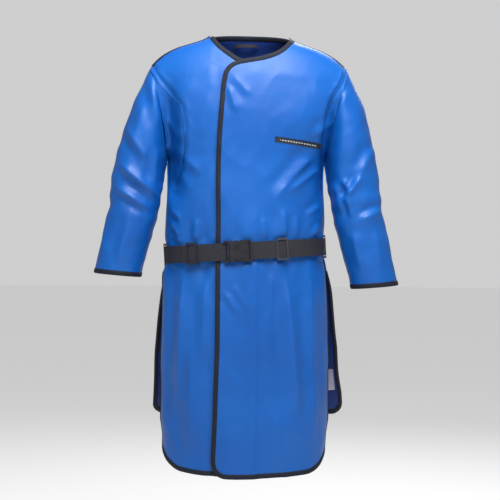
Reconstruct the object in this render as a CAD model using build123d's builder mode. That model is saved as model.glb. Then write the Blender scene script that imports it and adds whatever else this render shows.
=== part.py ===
"""Sleeved lead apron: a front-closing X-ray protective coat with a webbing belt. Millimetres.

Frame: +Z up, -Y is the front, +X is the wearer's left. The origin is the middle of the neck
opening, at the height where the shoulders meet the neck, so most of the coat hangs below Z = 0.

Every panel is three layers, cover, lead rubber and lining, whose edges are bound with folded tape.
The wearer's left front lies over the right front and closes with hook and loop strips.
"""

import os
from functools import lru_cache
from math import atan2, cos, degrees, radians, sin, sqrt

from build123d import *

os.makedirs("parts", exist_ok=True)

# Layers of a panel, from the outside in
COVER = 0.7
LEAD = 2.0
LINING = 0.7
PANEL = COVER + LEAD + LINING
LAYERS = {"cover": (0, COVER), "lead": (COVER, COVER + LEAD), "lining": (COVER + LEAD, PANEL)}

# Binding tape, folded over an edge
TAPE = 0.8
TAPE_REACH = 10
EDGE_CAP = 1
SHOULDER_TAPE = 0.9
# The tape over a shoulder seam: from the neck to the armhole, and how far it reaches forwards
SHOULDER_TAPE_X = (103, 226)
SHOULDER_TAPE_Y = (-36, -4)
SHOULDER_TAPE_LOW = -110

# Torso below the armpits: an oval of four arcs, front and back arcs of radius TORSO_R
TORSO_R = 275
TORSO_HALF_WIDTH = 184
TORSO_HALF_DEPTH = 114
TORSO_BOTTOM = -1080
# Yoke above the armpits: the same arcs out to YOKE_ARC_X, then straight to YOKE_X
YOKE_ARC_X = 150
YOKE_X = 242
# The chest leans back towards the neck on an arc that starts upright at CHEST_Z
CHEST_Z = -130
CHEST_R = 194
SHOULDER_RIDGE = 31
SHOULDER_BEND = (172, -27)
SHOULDER_CORNER = (221, -58)
SHOULDER_END = (245, -110)
SEAM_Y = 8
OVERLAP = 6.5
SEAM_GAP = 0.4
# Cutting shapes run past the coat on every side
REACH = 400
TOP = 80
BELOW = -1100
SPARE = 5

# Outlines, as (x, z) in the front view
NECK_SIDE = (96, 4)
NECK_FRONT = (-16, -61)
NECK_LEFT_BOW = (60, -42)
NECK_RIGHT_BOW = (-64, -34)
NECK_TOP_X = 130
NECK_TAPE_X = 101
NECK_HALF_WIDTH = 90
NECK_HALF_DEPTH = 60
ARM_TOP = (232, -70)
ARM_PIT = (184, -287)
ARM_LEAN = (ARM_TOP[0] - ARM_PIT[0]) / (ARM_TOP[1] - ARM_PIT[1])
ARM_GAP = 2.5
ABOVE = 60
ASIDE = 320
HEM_Z = -1022
HEM_FLAT = 120
HEM_CORNER = (166, HEM_Z + 16)
HEM_SIDE = (190, HEM_Z + 62)
UNDERLAP_X = 60
UNDERLAP_TOP_Z = -82
UNDERLAP_HEM_Z = HEM_Z + 4
FREE_TOP = (-58, -74)
FREE_BOTTOM_X = -70
FREE_CORNERS = (24, 34)
FREE_SIDE_X = 95
WAIST_Z = -530
# The side seams are sewn down to here and open below
SEAM_END_Z = -545

# Folds of the overlapping front: each line as its two ends, (x, z)
LAPEL_FOLD = ((-60, -462), (35, -50))
FLAP_FOLD = ((-63, -548), (95, -1025))
FOLD_GAP = 1.2
FOLD_PAST = 40

# Back skirt: one arc about an upright axis, wider and shorter than the front
BACK_SKIRT_R = 308
BACK_SKIRT_DEPTH = 128
BACK_SKIRT_TOP = -536
BACK_SKIRT_HEM = -900
BACK_SKIRT_Y = 22
BACK_TOP_X = 196
BACK_HEM_X = 231
BACK_CORNER = 22
BACK_TAPE_TOP = -548

# Sleeve: a cone down the arm, from the shoulder to the cuff, as (x, z) of its axis
SLEEVE_TOP = (189, -110)
SLEEVE_CUFF = (299, -556)
SLEEVE_Y = -4
SLEEVE_TOP_R = 64
SLEEVE_CUFF_R = 56
SLEEVE_SPARE = 45
LEFT_SLEEVE_EXTRA = 26
SLEEVE_CAP = (252, -88)

# Belt: a four-arc oval in a plane that leans down towards the wearer's right
BELT_Z = -500
BELT_CENTRE_Y = -3
BELT_LEAN = 3.4
BELT_HALF_WIDTH = 188
BELT_HALF_DEPTH = 120
BELT_FRONT_R = 280
WEB = 1.4
WEB_WIDTH = 40
FRONT_WEB = 3.4
BELT_FRONT_Y = BELT_FRONT_R - BELT_HALF_DEPTH
BELT_SIDE_R = (BELT_FRONT_R**2 - BELT_HALF_WIDTH**2 - BELT_FRONT_Y**2) / (
    2 * (BELT_FRONT_R - BELT_HALF_WIDTH)
)
BELT_SIDE_X = BELT_HALF_WIDTH - BELT_SIDE_R
BELT_TURN = degrees(atan2(BELT_SIDE_X, BELT_FRONT_Y))
WEB_GAP = (-107, 25)
WEB_ROOM = 0.6
PLUG_STRAP = (-150, -41.4)
SOCKET_STRAP = (9, 140)

# Buckle, in the belt's plane: u along the belt from the middle, n outwards from the belt's inner face
BUCKLE_WIDTH = 50
SOCKET_U = (-34, 17)
SOCKET_N = (0.3, 9.3)
CAVITY_N = (2.2, 7.3)
PLUG_N = (2.6, 6.9)
PLUG_U = (-48, -34.6)
PRONG_ROOT = (-36, 16.5)
PRONG_TIP_U = -12
PRONG_HEAD_U = -24
PRONG_HALF_OUT = 24.4
GUIDE_HALF = 7
SCOOP = (-18, 33.5, 13)
BAR = 4.4
SLOT = 3.4
BUCKLE_CORNER = 3
STRAP_FOLD_N = 0.6
MOUTH_LIP = 1.0
CAVITY_END_U = 3
CATCH_STEP = 3
PRONG_ROOT_R = 3
PRONG_ROOM = 0.4
PRONG_HALF_THICK = 2.2
GUIDE_TIP = (8, 12)
GUIDE_TAPER = (1, 4)

# Strap adjusters
ADJUSTER_LENGTH = 27
ADJUSTER_HALF = 25.5
ADJUSTER_BAR = 3.4
ADJUSTER_FRONT_N = 7.1
ADJUSTER_GAP = 0.3
ADJUSTER_SIDE = 0.8
ADJUSTERS = {"strap_adjuster_right": -123, "strap_adjuster_left": 86}

# Hook and loop closure, as (x range, z range)
STRIP = 1.1
LOOP_MARGIN = (3, 6)
UPPER_STRIP = ((-45, -20), (-320, -115))
LOWER_STRIP = ((-53, -28), (-960, -700))

# Labels: the name tape's middle, size and slope, and the size label's opposite corners
NAME_TAPE_MIDDLE = (121, -251)
NAME_TAPE_SIZE = (108, 12.5)
NAME_TAPE_SLOPE = -6.5
LABEL = 0.6
LABEL_SPAN = ((150, -838), (206, -780))

# Hanger loop inside the back of the neck: its ends, its middle, its tape and its two edges
HANGER_END = (32, 70)
HANGER_MIDDLE_Y = 50
HANGER_TAPE = 1.2
HANGER_Z = (-10, -2)

# Belt loops
LOOP_WIDTH = 18
LOOP_HALF = 27
LOOP_WEB = 1.2
LOOP_ROOM = 0.8
LOOP_END = 4


def save(shape, name):
    """Label a finished piece and write it as its own node."""
    shape.label = name
    export_step(shape, f"parts/{name}.step")


# Forms: solid bodies whose surface is the coat's outer face moved in by `inset`
def moved_in(sketch, inset):
    """A closed outline moved inwards by `inset`."""
    if not inset:
        return sketch
    with BuildSketch() as smaller:
        add(sketch)
        offset(amount=-inset, kind=Kind.INTERSECTION)
    return smaller.sketch


def torso_oval(inset):
    """The four-arc plan of the torso below the armpits."""
    front_y = TORSO_R - TORSO_HALF_DEPTH
    side_r = (TORSO_R**2 - TORSO_HALF_WIDTH**2 - front_y**2) / (2 * (TORSO_R - TORSO_HALF_WIDTH))
    side_x = TORSO_HALF_WIDTH - side_r
    turn_by = degrees(atan2(side_x, front_y))
    with BuildSketch() as plan:
        with BuildLine():
            CenterArc((0, front_y), TORSO_R - inset, 270 - turn_by, 2 * turn_by)
            CenterArc((side_x, 0), side_r - inset, turn_by - 90, 180 - 2 * turn_by)
            CenterArc((0, -front_y), TORSO_R - inset, 90 - turn_by, 2 * turn_by)
            CenterArc((-side_x, 0), side_r - inset, 90 + turn_by, 180 - 2 * turn_by)
        make_face()
    return plan.sketch


def yoke_plan():
    """The plan above the armpits: front and back arcs run out straight to the shoulder tips."""
    centre_y = TORSO_R - TORSO_HALF_DEPTH
    run = sqrt(TORSO_R**2 - YOKE_ARC_X**2)
    arc_y = run - centre_y
    tip_y = arc_y - (YOKE_X - YOKE_ARC_X) * YOKE_ARC_X / run
    with BuildSketch() as plan:
        with BuildLine():
            ThreePointArc((-YOKE_ARC_X, -arc_y), (0, -TORSO_HALF_DEPTH), (YOKE_ARC_X, -arc_y))
            Polyline((YOKE_ARC_X, -arc_y), (YOKE_X, -tip_y), (YOKE_X, tip_y), (YOKE_ARC_X, arc_y))
            ThreePointArc((YOKE_ARC_X, arc_y), (0, TORSO_HALF_DEPTH), (-YOKE_ARC_X, arc_y))
            Polyline((-YOKE_ARC_X, arc_y), (-YOKE_X, tip_y), (-YOKE_X, -tip_y), (-YOKE_ARC_X, -arc_y))
        make_face()
    return plan.sketch


def chest_side():
    """The yoke from the side, drawn as (y, z): upright, then leaning in towards the neck."""
    with BuildSketch() as side:
        with Locations((CHEST_R - TORSO_HALF_DEPTH, CHEST_Z)):
            Circle(CHEST_R)
        with Locations((TORSO_HALF_DEPTH - CHEST_R, CHEST_Z)):
            Circle(CHEST_R, mode=Mode.INTERSECT)
        with Locations((0, CHEST_Z - 2 * CHEST_R)):
            Rectangle(2 * TORSO_HALF_DEPTH, 4 * CHEST_R)
    return side.sketch


def shoulder_front():
    """The yoke from the front: sloping shoulders that round over at their ends."""
    with BuildSketch() as front:
        with BuildLine():
            for side in (-1, 1):
                start = (side * SHOULDER_BEND[0], SHOULDER_BEND[1])
                end = (side * SHOULDER_END[0], SHOULDER_END[1])
                Line((0, SHOULDER_RIDGE), start)
                ThreePointArc(start, (side * SHOULDER_CORNER[0], SHOULDER_CORNER[1]), end)
                Line(end, (side * SHOULDER_END[0], ARM_PIT[1]))
            Line((-SHOULDER_END[0], ARM_PIT[1]), (SHOULDER_END[0], ARM_PIT[1]))
        make_face()
    return front.sketch


def along_y(sketch, half=REACH):
    """A front-view outline, (x, z), made solid along Y."""
    with BuildPart() as solid:
        with BuildSketch(Plane.XZ):
            add(sketch)
        extrude(amount=half, both=True)
    return solid.part


@lru_cache(maxsize=None)
def torso_form(inset, forward=0.0):
    with BuildPart() as form:
        with BuildSketch(Plane.XY.offset(ARM_PIT[1] - 20)):
            add(moved_in(yoke_plan(), inset))
        extrude(amount=REACH)
        with BuildPart(mode=Mode.INTERSECT):
            with BuildSketch(Plane.YZ):
                add(moved_in(chest_side(), inset))
            extrude(amount=REACH, both=True)
        add(along_y(moved_in(shoulder_front(), inset)), mode=Mode.INTERSECT)
        with BuildSketch(Plane.XY.offset(TORSO_BOTTOM)):
            add(torso_oval(inset))
        extrude(amount=ARM_PIT[1] + inset - TORSO_BOTTOM)
    return Pos(0, -forward, 0) * form.part


@lru_cache(maxsize=None)
def back_skirt_form(inset, forward=0.0):
    with BuildPart() as form:
        with BuildSketch(Plane.XY.offset(TORSO_BOTTOM)):
            with Locations((0, BACK_SKIRT_DEPTH - BACK_SKIRT_R)):
                Circle(BACK_SKIRT_R - inset)
        extrude(amount=BACK_SKIRT_TOP + 40 - TORSO_BOTTOM)
    return form.part


def upright(x, z, along, y=0.0):
    """A plane across the front view at (x, z), facing the direction `along`."""
    return Plane(origin=(x, y, z), x_dir=(0, 1, 0), z_dir=(along[0], 0, along[1]))


SLEEVE_RUN = (SLEEVE_CUFF[0] - SLEEVE_TOP[0], SLEEVE_CUFF[1] - SLEEVE_TOP[1])
SLEEVE_LENGTH = sqrt(SLEEVE_RUN[0] ** 2 + SLEEVE_RUN[1] ** 2)
CUFF_PLANE = upright(*SLEEVE_CUFF, SLEEVE_RUN, SLEEVE_Y)


def sleeve_outline():
    """The front view outside the armhole and below the shoulder."""
    with BuildSketch() as outline:
        with BuildLine():
            Polyline(
                (ARM_PIT[0] + ARM_GAP, -REACH * 2),
                (ARM_PIT[0] + ARM_GAP, ARM_PIT[1]),
                (ARM_TOP[0] + ARM_GAP, ARM_TOP[1]),
                SLEEVE_CAP,
                (REACH, SLEEVE_CAP[1]),
                (REACH, -REACH * 2),
                close=True,
            )
        make_face()
    return outline.sketch


@lru_cache(maxsize=None)
def sleeve_form(inset):
    """The sleeve's cone, longer than the sleeve at both ends, cut off at the armhole."""
    shrink = (SLEEVE_TOP_R - SLEEVE_CUFF_R) / SLEEVE_LENGTH
    ahead, length = SLEEVE_LENGTH / 3, SLEEVE_LENGTH * 4 / 3 + SLEEVE_SPARE
    wide = SLEEVE_TOP_R + shrink * ahead - inset
    with BuildPart() as form:
        with Locations(CUFF_PLANE.offset(-SLEEVE_LENGTH - ahead)):
            Cone(wide, wide - shrink * length, length, align=(Align.CENTER, Align.CENTER, Align.MIN))
        add(along_y(sleeve_outline()), mode=Mode.INTERSECT)
    return form.part


# Outlines in the front view, drawn in the XZ plane
def below_the_arm(side):
    """Corners from the hem side of an armhole up to above the shoulder, on one side."""
    return [
        (side * ASIDE, ARM_PIT[1]),
        (side * ARM_PIT[0], ARM_PIT[1]),
        (side * (ARM_TOP[0] + ARM_LEAN * (ABOVE - ARM_TOP[1])), ABOVE),
        (side * NECK_TOP_X, ABOVE),
        (side * NECK_SIDE[0], NECK_SIDE[1]),
    ]


def left_front_outline(grow=0.0):
    with BuildSketch() as outline:
        with BuildLine():
            ThreePointArc(NECK_SIDE, NECK_LEFT_BOW, NECK_FRONT)
            FilletPolyline(
                NECK_FRONT, FREE_TOP, (FREE_BOTTOM_X, HEM_Z), (HEM_FLAT, HEM_Z), radius=FREE_CORNERS
            )
            ThreePointArc((HEM_FLAT, HEM_Z), HEM_CORNER, HEM_SIDE)
            Polyline(HEM_SIDE, (ASIDE, HEM_SIDE[1]), *below_the_arm(1))
        make_face()
        if grow:
            offset(amount=grow)
    return outline.sketch


def right_front_outline(grow=0.0):
    with BuildSketch() as outline:
        with BuildLine():
            ThreePointArc((-NECK_SIDE[0], NECK_SIDE[1]), NECK_RIGHT_BOW, NECK_FRONT)
            Polyline(
                NECK_FRONT,
                (UNDERLAP_X, UNDERLAP_TOP_Z),
                (UNDERLAP_X, UNDERLAP_HEM_Z),
                (-HEM_FLAT, UNDERLAP_HEM_Z),
            )
            ThreePointArc(
                (-HEM_FLAT, UNDERLAP_HEM_Z), (-HEM_CORNER[0], HEM_CORNER[1]), (-HEM_SIDE[0], HEM_SIDE[1])
            )
            Polyline((-HEM_SIDE[0], HEM_SIDE[1]), (-ASIDE, HEM_SIDE[1]), *below_the_arm(-1))
        make_face()
        if grow:
            offset(amount=grow)
    return outline.sketch


def back_outline():
    right, left = below_the_arm(-1)[:-1], below_the_arm(1)[:-1]
    with BuildSketch() as outline:
        with BuildLine():
            Polyline(*reversed(left), (ASIDE, WAIST_Z), (-ASIDE, WAIST_Z), *right, close=True)
        make_face()
    return outline.sketch


def neck_hole(grow=0.0):
    """The oval neck opening from above, which shapes the back's neckline."""
    with BuildPart() as hole:
        with BuildSketch(Plane.XY.offset(-ABOVE)):
            Ellipse(NECK_HALF_WIDTH + grow, NECK_HALF_DEPTH + grow)
        extrude(amount=3 * ABOVE)
    return hole.part


def back_skirt_outline(grow=0.0):
    """A trapezium with cut corners at the hem, where the skirt flares out behind the fronts."""
    with BuildSketch() as outline:
        with BuildLine():
            Polyline(
                (-BACK_TOP_X, BACK_SKIRT_TOP),
                (-BACK_HEM_X, BACK_SKIRT_HEM + BACK_CORNER),
                (BACK_CORNER - BACK_HEM_X, BACK_SKIRT_HEM),
                (BACK_HEM_X - BACK_CORNER, BACK_SKIRT_HEM),
                (BACK_HEM_X, BACK_SKIRT_HEM + BACK_CORNER),
                (BACK_TOP_X, BACK_SKIRT_TOP),
                close=True,
            )
        make_face()
        if grow:
            offset(amount=grow)
    return outline.sketch


def zone(*corners):
    """A polygon in the front view."""
    with BuildSketch() as patch:
        with BuildLine():
            Polyline(*corners, close=True)
        make_face()
    return patch.sketch


def beside_fold(fold, gap=0.0):
    """The strip of the front view on the free edge's side of a fold line."""
    top, bottom = sorted((Vector(*fold[0]), Vector(*fold[1])), key=lambda end: -end.Y)
    along = (top - bottom).normalized()
    away = Vector(-along.Y, along.X)
    high, low = top + along * FOLD_PAST + away * gap, bottom - along * FOLD_PAST + away * gap
    return zone(*[(p.X, p.Y) for p in (high, low, low + away * REACH, high + away * REACH)])


def above(z):
    """All of the front view above a height."""
    return level(((-REACH, z), (REACH, TOP)))


def below(z):
    """All of the front view below a height."""
    return level(((-REACH, BELOW), (REACH, z)))


def level(span):
    """A rectangle in the front view from its two opposite corners."""
    (x0, z0), (x1, z1) = span
    return zone((x0, z0), (x1, z0), (x1, z1), (x0, z1))


LAPEL_ZONE = beside_fold(LAPEL_FOLD, FOLD_GAP) & above(LAPEL_FOLD[0][1] + FOLD_GAP)
FLAP_ZONE = beside_fold(FLAP_FOLD, FOLD_GAP) & below(FLAP_FOLD[0][1] - FOLD_GAP)
LAPEL_CUT = beside_fold(LAPEL_FOLD) & above(LAPEL_FOLD[0][1])
FLAP_CUT = beside_fold(FLAP_FOLD) & below(FLAP_FOLD[0][1])


def front_prism(region, start_y=SEAM_Y, toward=1):
    """The region of the front view extruded from start_y, to the front (1) or to the back (-1)."""
    with BuildPart() as prism:
        with BuildSketch(Plane.XZ.offset(-start_y)):
            add(region)
        extrude(amount=toward * REACH)
    return prism.part


def shell(form, near, far, forward=0.0):
    with BuildPart() as skin:
        add(form(near, forward))
        add(form(far, forward), mode=Mode.SUBTRACT)
    return skin.part


def panel(form, layer, region, keep=None, drop=(), forward=0.0, start_y=SEAM_Y, toward=1):
    """One layer of a panel: the part of a form's shell that an outline covers."""
    near, far = layer
    with BuildPart() as piece:
        add(shell(form, near, far, forward))
        add(front_prism(region, start_y, toward), mode=Mode.INTERSECT)
        if keep is not None:
            add(front_prism(keep, start_y + SPARE * toward, toward), mode=Mode.INTERSECT)
        for patch in drop:
            add(front_prism(patch, start_y + SPARE * toward, toward), mode=Mode.SUBTRACT)
    return piece.part


def binding(form, outline, where, keep=None, drop=(), forward=0.0, start_y=SEAM_Y, toward=1):
    """Folded tape along those edges of a panel that lie inside `where`."""
    with BuildPart() as tape:
        add(shell(form, -TAPE, PANEL + TAPE, forward))
        add(front_prism(outline(EDGE_CAP), start_y + EDGE_CAP * toward, toward), mode=Mode.INTERSECT)
        add(front_prism(outline(-TAPE_REACH), start_y - TAPE_REACH * toward, toward), mode=Mode.SUBTRACT)
        add(front_prism(where, start_y + SPARE * toward, toward), mode=Mode.INTERSECT)
        whole = panel(form, (0, PANEL), outline(), forward=forward, start_y=start_y, toward=toward)
        add(whole, mode=Mode.SUBTRACT)
        add(front_prism(above(SEAM_END_Z), SEAM_Y, -1), mode=Mode.SUBTRACT)
        if keep is not None:
            add(front_prism(keep, start_y + SPARE * toward, toward), mode=Mode.INTERSECT)
        for patch in drop:
            add(front_prism(patch, start_y + SPARE * toward, toward), mode=Mode.SUBTRACT)
    return tape.part


def back_layer(layer):
    with BuildPart() as piece:
        add(panel(torso_form, layer, back_outline(), toward=-1, start_y=SEAM_Y + SEAM_GAP))
        add(neck_hole(), mode=Mode.SUBTRACT)
    return piece.part


# Fronts and back
for layer_name, layer in LAYERS.items():
    save(panel(torso_form, layer, right_front_outline()), f"right_front_{layer_name}")
    save(
        panel(torso_form, layer, left_front_outline(), drop=(LAPEL_CUT, FLAP_CUT), forward=OVERLAP),
        f"left_front_{layer_name}",
    )
    for owner, owned in (("lapel", LAPEL_ZONE), ("skirt_flap", FLAP_ZONE)):
        piece = panel(torso_form, layer, left_front_outline(), keep=owned, forward=OVERLAP)
        save(piece, f"{owner}_{layer_name}")
    save(back_layer(layer), f"back_{layer_name}")
    save(
        panel(back_skirt_form, layer, back_skirt_outline(), toward=-1, start_y=BACK_SKIRT_Y),
        f"back_skirt_{layer_name}",
    )

# Binding tapes
def bound_edges(side):
    """Neckline, free edge and hem, and the side edge below the seam's end, of one front."""
    free_x, neck_x, side_x = -side * FREE_SIDE_X, side * NECK_TAPE_X, side * REACH
    return zone(
        (free_x, TOP),
        (neck_x, TOP),
        (neck_x, SEAM_END_Z),
        (side_x, SEAM_END_Z),
        (side_x, BELOW),
        (free_x, BELOW),
    )


LEFT_BOUND, RIGHT_BOUND = bound_edges(1), bound_edges(-1)
save(binding(torso_form, right_front_outline, RIGHT_BOUND), "right_front_binding")
save(
    binding(torso_form, left_front_outline, LEFT_BOUND, drop=(LAPEL_CUT, FLAP_CUT), forward=OVERLAP),
    "left_front_binding",
)
for owner, owned in (("lapel", LAPEL_ZONE), ("skirt_flap", FLAP_ZONE)):
    edge_tape = binding(torso_form, left_front_outline, LEFT_BOUND, keep=owned, forward=OVERLAP)
    save(edge_tape, f"{owner}_binding")

with BuildPart() as back_neck_binding:
    add(shell(torso_form, -TAPE, PANEL + TAPE))
    add(neck_hole(TAPE_REACH), mode=Mode.INTERSECT)
    add(neck_hole(-EDGE_CAP), mode=Mode.SUBTRACT)
    split(bisect_by=Plane.XZ.offset(-SEAM_Y - SEAM_GAP - EDGE_CAP), keep=Keep.BOTTOM)
    add(back_layer((0, PANEL)), mode=Mode.SUBTRACT)
save(back_neck_binding.part, "back_neck_binding")
save(
    binding(
        back_skirt_form,
        back_skirt_outline,
        below(BACK_TAPE_TOP),
        toward=-1,
        start_y=BACK_SKIRT_Y,
    ),
    "back_skirt_binding",
)

# Shoulder tapes, laid flat over the shoulder seams
for side, name, forward in ((1, "shoulder_tape_left", OVERLAP), (-1, "shoulder_tape_right", 0.0)):
    with BuildPart() as shoulder_tape:
        add(shell(torso_form, -SHOULDER_TAPE, 0, forward))
        near, far = SHOULDER_TAPE_X
        armhole_x = ARM_TOP[0] + ARM_LEAN * (TOP - ARM_TOP[1])
        over = zone(
            (side * near, TOP),
            (side * near, SHOULDER_TAPE_LOW),
            (side * far, SHOULDER_TAPE_LOW),
            (side * armhole_x, TOP),
        )
        add(front_prism(over, SHOULDER_TAPE_Y[1]), mode=Mode.INTERSECT)
        split(bisect_by=Plane.XZ.offset(-SHOULDER_TAPE_Y[0]), keep=Keep.BOTTOM)
    save(shoulder_tape.part, name)

# Hook strips inside the overlap, loop strips on the front below it
for level_name, owner, (xs, zs) in (("upper", LAPEL_ZONE, UPPER_STRIP), ("lower", FLAP_ZONE, LOWER_STRIP)):
    hook_region = level(((xs[0], zs[0]), (xs[1], zs[1]))) & owner
    narrow, wide = LOOP_MARGIN
    loop_region = level(((xs[0] - narrow, zs[0] - wide), (xs[1] + wide, zs[1] + wide)))
    hook_strip = panel(torso_form, (PANEL, PANEL + STRIP), hook_region, forward=OVERLAP)
    save(hook_strip, f"hook_strip_{level_name}")
    save(panel(torso_form, (-STRIP, 0), loop_region), f"loop_strip_{level_name}")

# Name tape on the wearer's left chest, sloping down towards the arm
with BuildSketch() as name_tape_outline:
    with Locations(NAME_TAPE_MIDDLE):
        Rectangle(*NAME_TAPE_SIZE, rotation=NAME_TAPE_SLOPE)
save(panel(torso_form, (-LABEL, 0), name_tape_outline.sketch, forward=OVERLAP), "name_tape")

# Label sewn to the lining of the back skirt, near its edge
size_label = panel(
    back_skirt_form, (PANEL, PANEL + LABEL), level(LABEL_SPAN), toward=-1, start_y=BACK_SKIRT_Y
)
save(size_label, "size_label")

# Hanger loop inside the back of the neck
with BuildPart() as hanger_loop:
    with BuildSketch(Plane.XY.offset(HANGER_Z[0])):
        with BuildLine():
            outer_bow = ThreePointArc((-HANGER_END[0], HANGER_END[1]), (0, HANGER_MIDDLE_Y), HANGER_END)
            offset(outer_bow, amount=HANGER_TAPE, side=Side.LEFT)
        make_face()
    extrude(amount=HANGER_Z[1] - HANGER_Z[0])
    add(torso_form(PANEL + TAPE), mode=Mode.INTERSECT)
save(hanger_loop.part, "hanger_loop")

# Sleeves
def sleeve_layer(near, far, extra):
    """One layer of the wearer's left sleeve, its cuff moved down the arm by `extra`."""
    with BuildPart() as layer_part:
        add(sleeve_form(near))
        add(sleeve_form(far), mode=Mode.SUBTRACT)
        split(bisect_by=CUFF_PLANE.offset(extra), keep=Keep.BOTTOM)
    return layer_part.part


def cuff_binding(extra):
    with BuildPart() as cuff:
        add(sleeve_form(-TAPE))
        add(sleeve_form(PANEL + TAPE), mode=Mode.SUBTRACT)
        split(bisect_by=CUFF_PLANE.offset(extra + EDGE_CAP), keep=Keep.BOTTOM)
        split(bisect_by=CUFF_PLANE.offset(extra - TAPE_REACH), keep=Keep.TOP)
        add(sleeve_layer(0, PANEL, extra), mode=Mode.SUBTRACT)
    return cuff.part


for side_name, extra in (("left", LEFT_SLEEVE_EXTRA), ("right", 0)):
    sleeve_pieces = {name: sleeve_layer(*layer, extra) for name, layer in LAYERS.items()}
    sleeve_pieces["cuff_binding"] = cuff_binding(extra)
    for piece_name, piece in sleeve_pieces.items():
        if side_name == "right":
            piece = mirror(piece, about=Plane.YZ, mode=Mode.PRIVATE)
        save(piece, f"{side_name}_sleeve_{piece_name}")

# Belt: everything on the front arc slides about the axis of that arc
BELT_PLANE = Plane(
    origin=(0, BELT_CENTRE_Y, BELT_Z),
    x_dir=(cos(radians(BELT_LEAN)), 0, sin(radians(BELT_LEAN))),
    z_dir=(-sin(radians(BELT_LEAN)), 0, cos(radians(BELT_LEAN))),
)


def turn(u):
    """The angle round the front arc of a place u along it."""
    return degrees(u / BELT_FRONT_R)


def front_x(u, n=0.0):
    return (BELT_FRONT_R + n) * sin(radians(turn(u)))


def oval(n):
    """The belt's outline, n outside its inner face."""
    front, side = BELT_FRONT_R + n, BELT_SIDE_R + n
    for centre, radius, start, size in (
        ((0, BELT_FRONT_Y), front, 270 - BELT_TURN, 2 * BELT_TURN),
        ((BELT_SIDE_X, 0), side, BELT_TURN - 90, 180 - 2 * BELT_TURN),
        ((0, -BELT_FRONT_Y), front, 90 - BELT_TURN, 2 * BELT_TURN),
        ((-BELT_SIDE_X, 0), side, 90 + BELT_TURN, 180 - 2 * BELT_TURN),
    ):
        CenterArc(centre, radius, start, size)


def arc_plate(us, ns, half_height):
    """A curved plate on the front arc, between two places along it and two distances from it."""
    with BuildPart() as plate:
        with BuildSketch(BELT_PLANE.offset(-half_height)):
            with BuildLine():
                near, far = BELT_FRONT_R + ns[0], BELT_FRONT_R + ns[1]
                start, size = 270 + turn(us[0]), turn(us[1]) - turn(us[0])
                inner = CenterArc((0, BELT_FRONT_Y), near, start, size)
                outer = CenterArc((0, BELT_FRONT_Y), far, start, size)
                Line(inner @ 0, outer @ 0)
                Line(inner @ 1, outer @ 1)
            make_face()
        extrude(amount=2 * half_height)
    return plate.part


# In the buckle's front view, x runs along the belt and y is up, in the belt's own plane
BUCKLE_VIEW = Plane(origin=BELT_PLANE.origin, x_dir=BELT_PLANE.x_dir, z_dir=(0, -1, 0))


def through_buckle(region):
    with BuildPart() as cutter:
        with BuildSketch(BUCKLE_VIEW):
            add(region)
        extrude(amount=REACH)
    return cutter.part


with BuildPart() as belt_webbing:
    with BuildSketch(BELT_PLANE.offset(-WEB_WIDTH / 2)):
        with BuildLine():
            oval(WEB)
        make_face()
        with BuildLine():
            oval(0)
        make_face(mode=Mode.SUBTRACT)
    extrude(amount=WEB_WIDTH)
    add(arc_plate(WEB_GAP, (-5, 10), 40), mode=Mode.SUBTRACT)
save(belt_webbing.part, "belt_webbing")

# The plug's strap runs over the bar and turns down into the slot behind it
with BuildPart() as plug_strap:
    add(arc_plate(PLUG_STRAP, (FRONT_WEB, FRONT_WEB + WEB), WEB_WIDTH / 2))
    add(arc_plate((PLUG_STRAP[1] - WEB, PLUG_STRAP[1]), (STRAP_FOLD_N, FRONT_WEB + WEB), WEB_WIDTH / 2))
save(plug_strap.part, "plug_strap")

with BuildPart() as socket_strap:
    add(arc_plate(SOCKET_STRAP, (FRONT_WEB, FRONT_WEB + WEB), WEB_WIDTH / 2))
save(socket_strap.part, "socket_strap")

# Buckle socket: a flat box with finger scoops, a tapering mouth and a strap bar at its closed end
with BuildSketch() as socket_outline:
    with Locations(((SOCKET_U[0] + SOCKET_U[1]) / 2, 0)):
        RectangleRounded(SOCKET_U[1] - SOCKET_U[0], BUCKLE_WIDTH, BUCKLE_CORNER)
    with Locations((SCOOP[0], SCOOP[1]), (SCOOP[0], -SCOOP[1])):
        Circle(SCOOP[2], mode=Mode.SUBTRACT)

CATCH_U = PRONG_TIP_U + CATCH_STEP / 2
with BuildSketch() as cavity_outline:
    with BuildLine():
        Polyline(
            (SOCKET_U[0] - 1, BUCKLE_WIDTH / 2 - MOUTH_LIP),
            (PRONG_HEAD_U - 1, BUCKLE_WIDTH / 2),
            (PRONG_HEAD_U - 1, BUCKLE_WIDTH / 2 + 1),
            (CATCH_U, BUCKLE_WIDTH / 2 + 1),
            (CATCH_U, BUCKLE_WIDTH / 2 - CATCH_STEP),
            (CAVITY_END_U, GUIDE_HALF + 1),
            (CAVITY_END_U, 0),
            (SOCKET_U[0] - 1, 0),
            close=True,
        )
    make_face()
    mirror(about=Plane.XZ)

with BuildSketch() as socket_slot:
    with Locations((SOCKET_U[1] - BAR - SLOT / 2, 0)):
        Rectangle(SLOT, WEB_WIDTH + 2 * WEB_ROOM)

with BuildPart() as buckle_socket:
    add(arc_plate(SOCKET_U, SOCKET_N, BUCKLE_WIDTH / 2))
    add(through_buckle(socket_outline.sketch), mode=Mode.INTERSECT)
    with BuildPart(mode=Mode.SUBTRACT):
        add(arc_plate((SOCKET_U[0] - SPARE, SOCKET_U[1]), CAVITY_N, BUCKLE_WIDTH))
        add(through_buckle(cavity_outline.sketch), mode=Mode.INTERSECT)
    add(through_buckle(socket_slot.sketch), mode=Mode.SUBTRACT)
    strap_us = (SOCKET_U[1] - BAR - SLOT - 1, SOCKET_U[1] + SPARE)
    strap_room = arc_plate(strap_us, (-SPARE, FRONT_WEB + WEB + PRONG_ROOM), WEB_WIDTH / 2 + WEB_ROOM)
    add(strap_room, mode=Mode.SUBTRACT)
save(buckle_socket.part, "buckle_socket")

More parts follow.
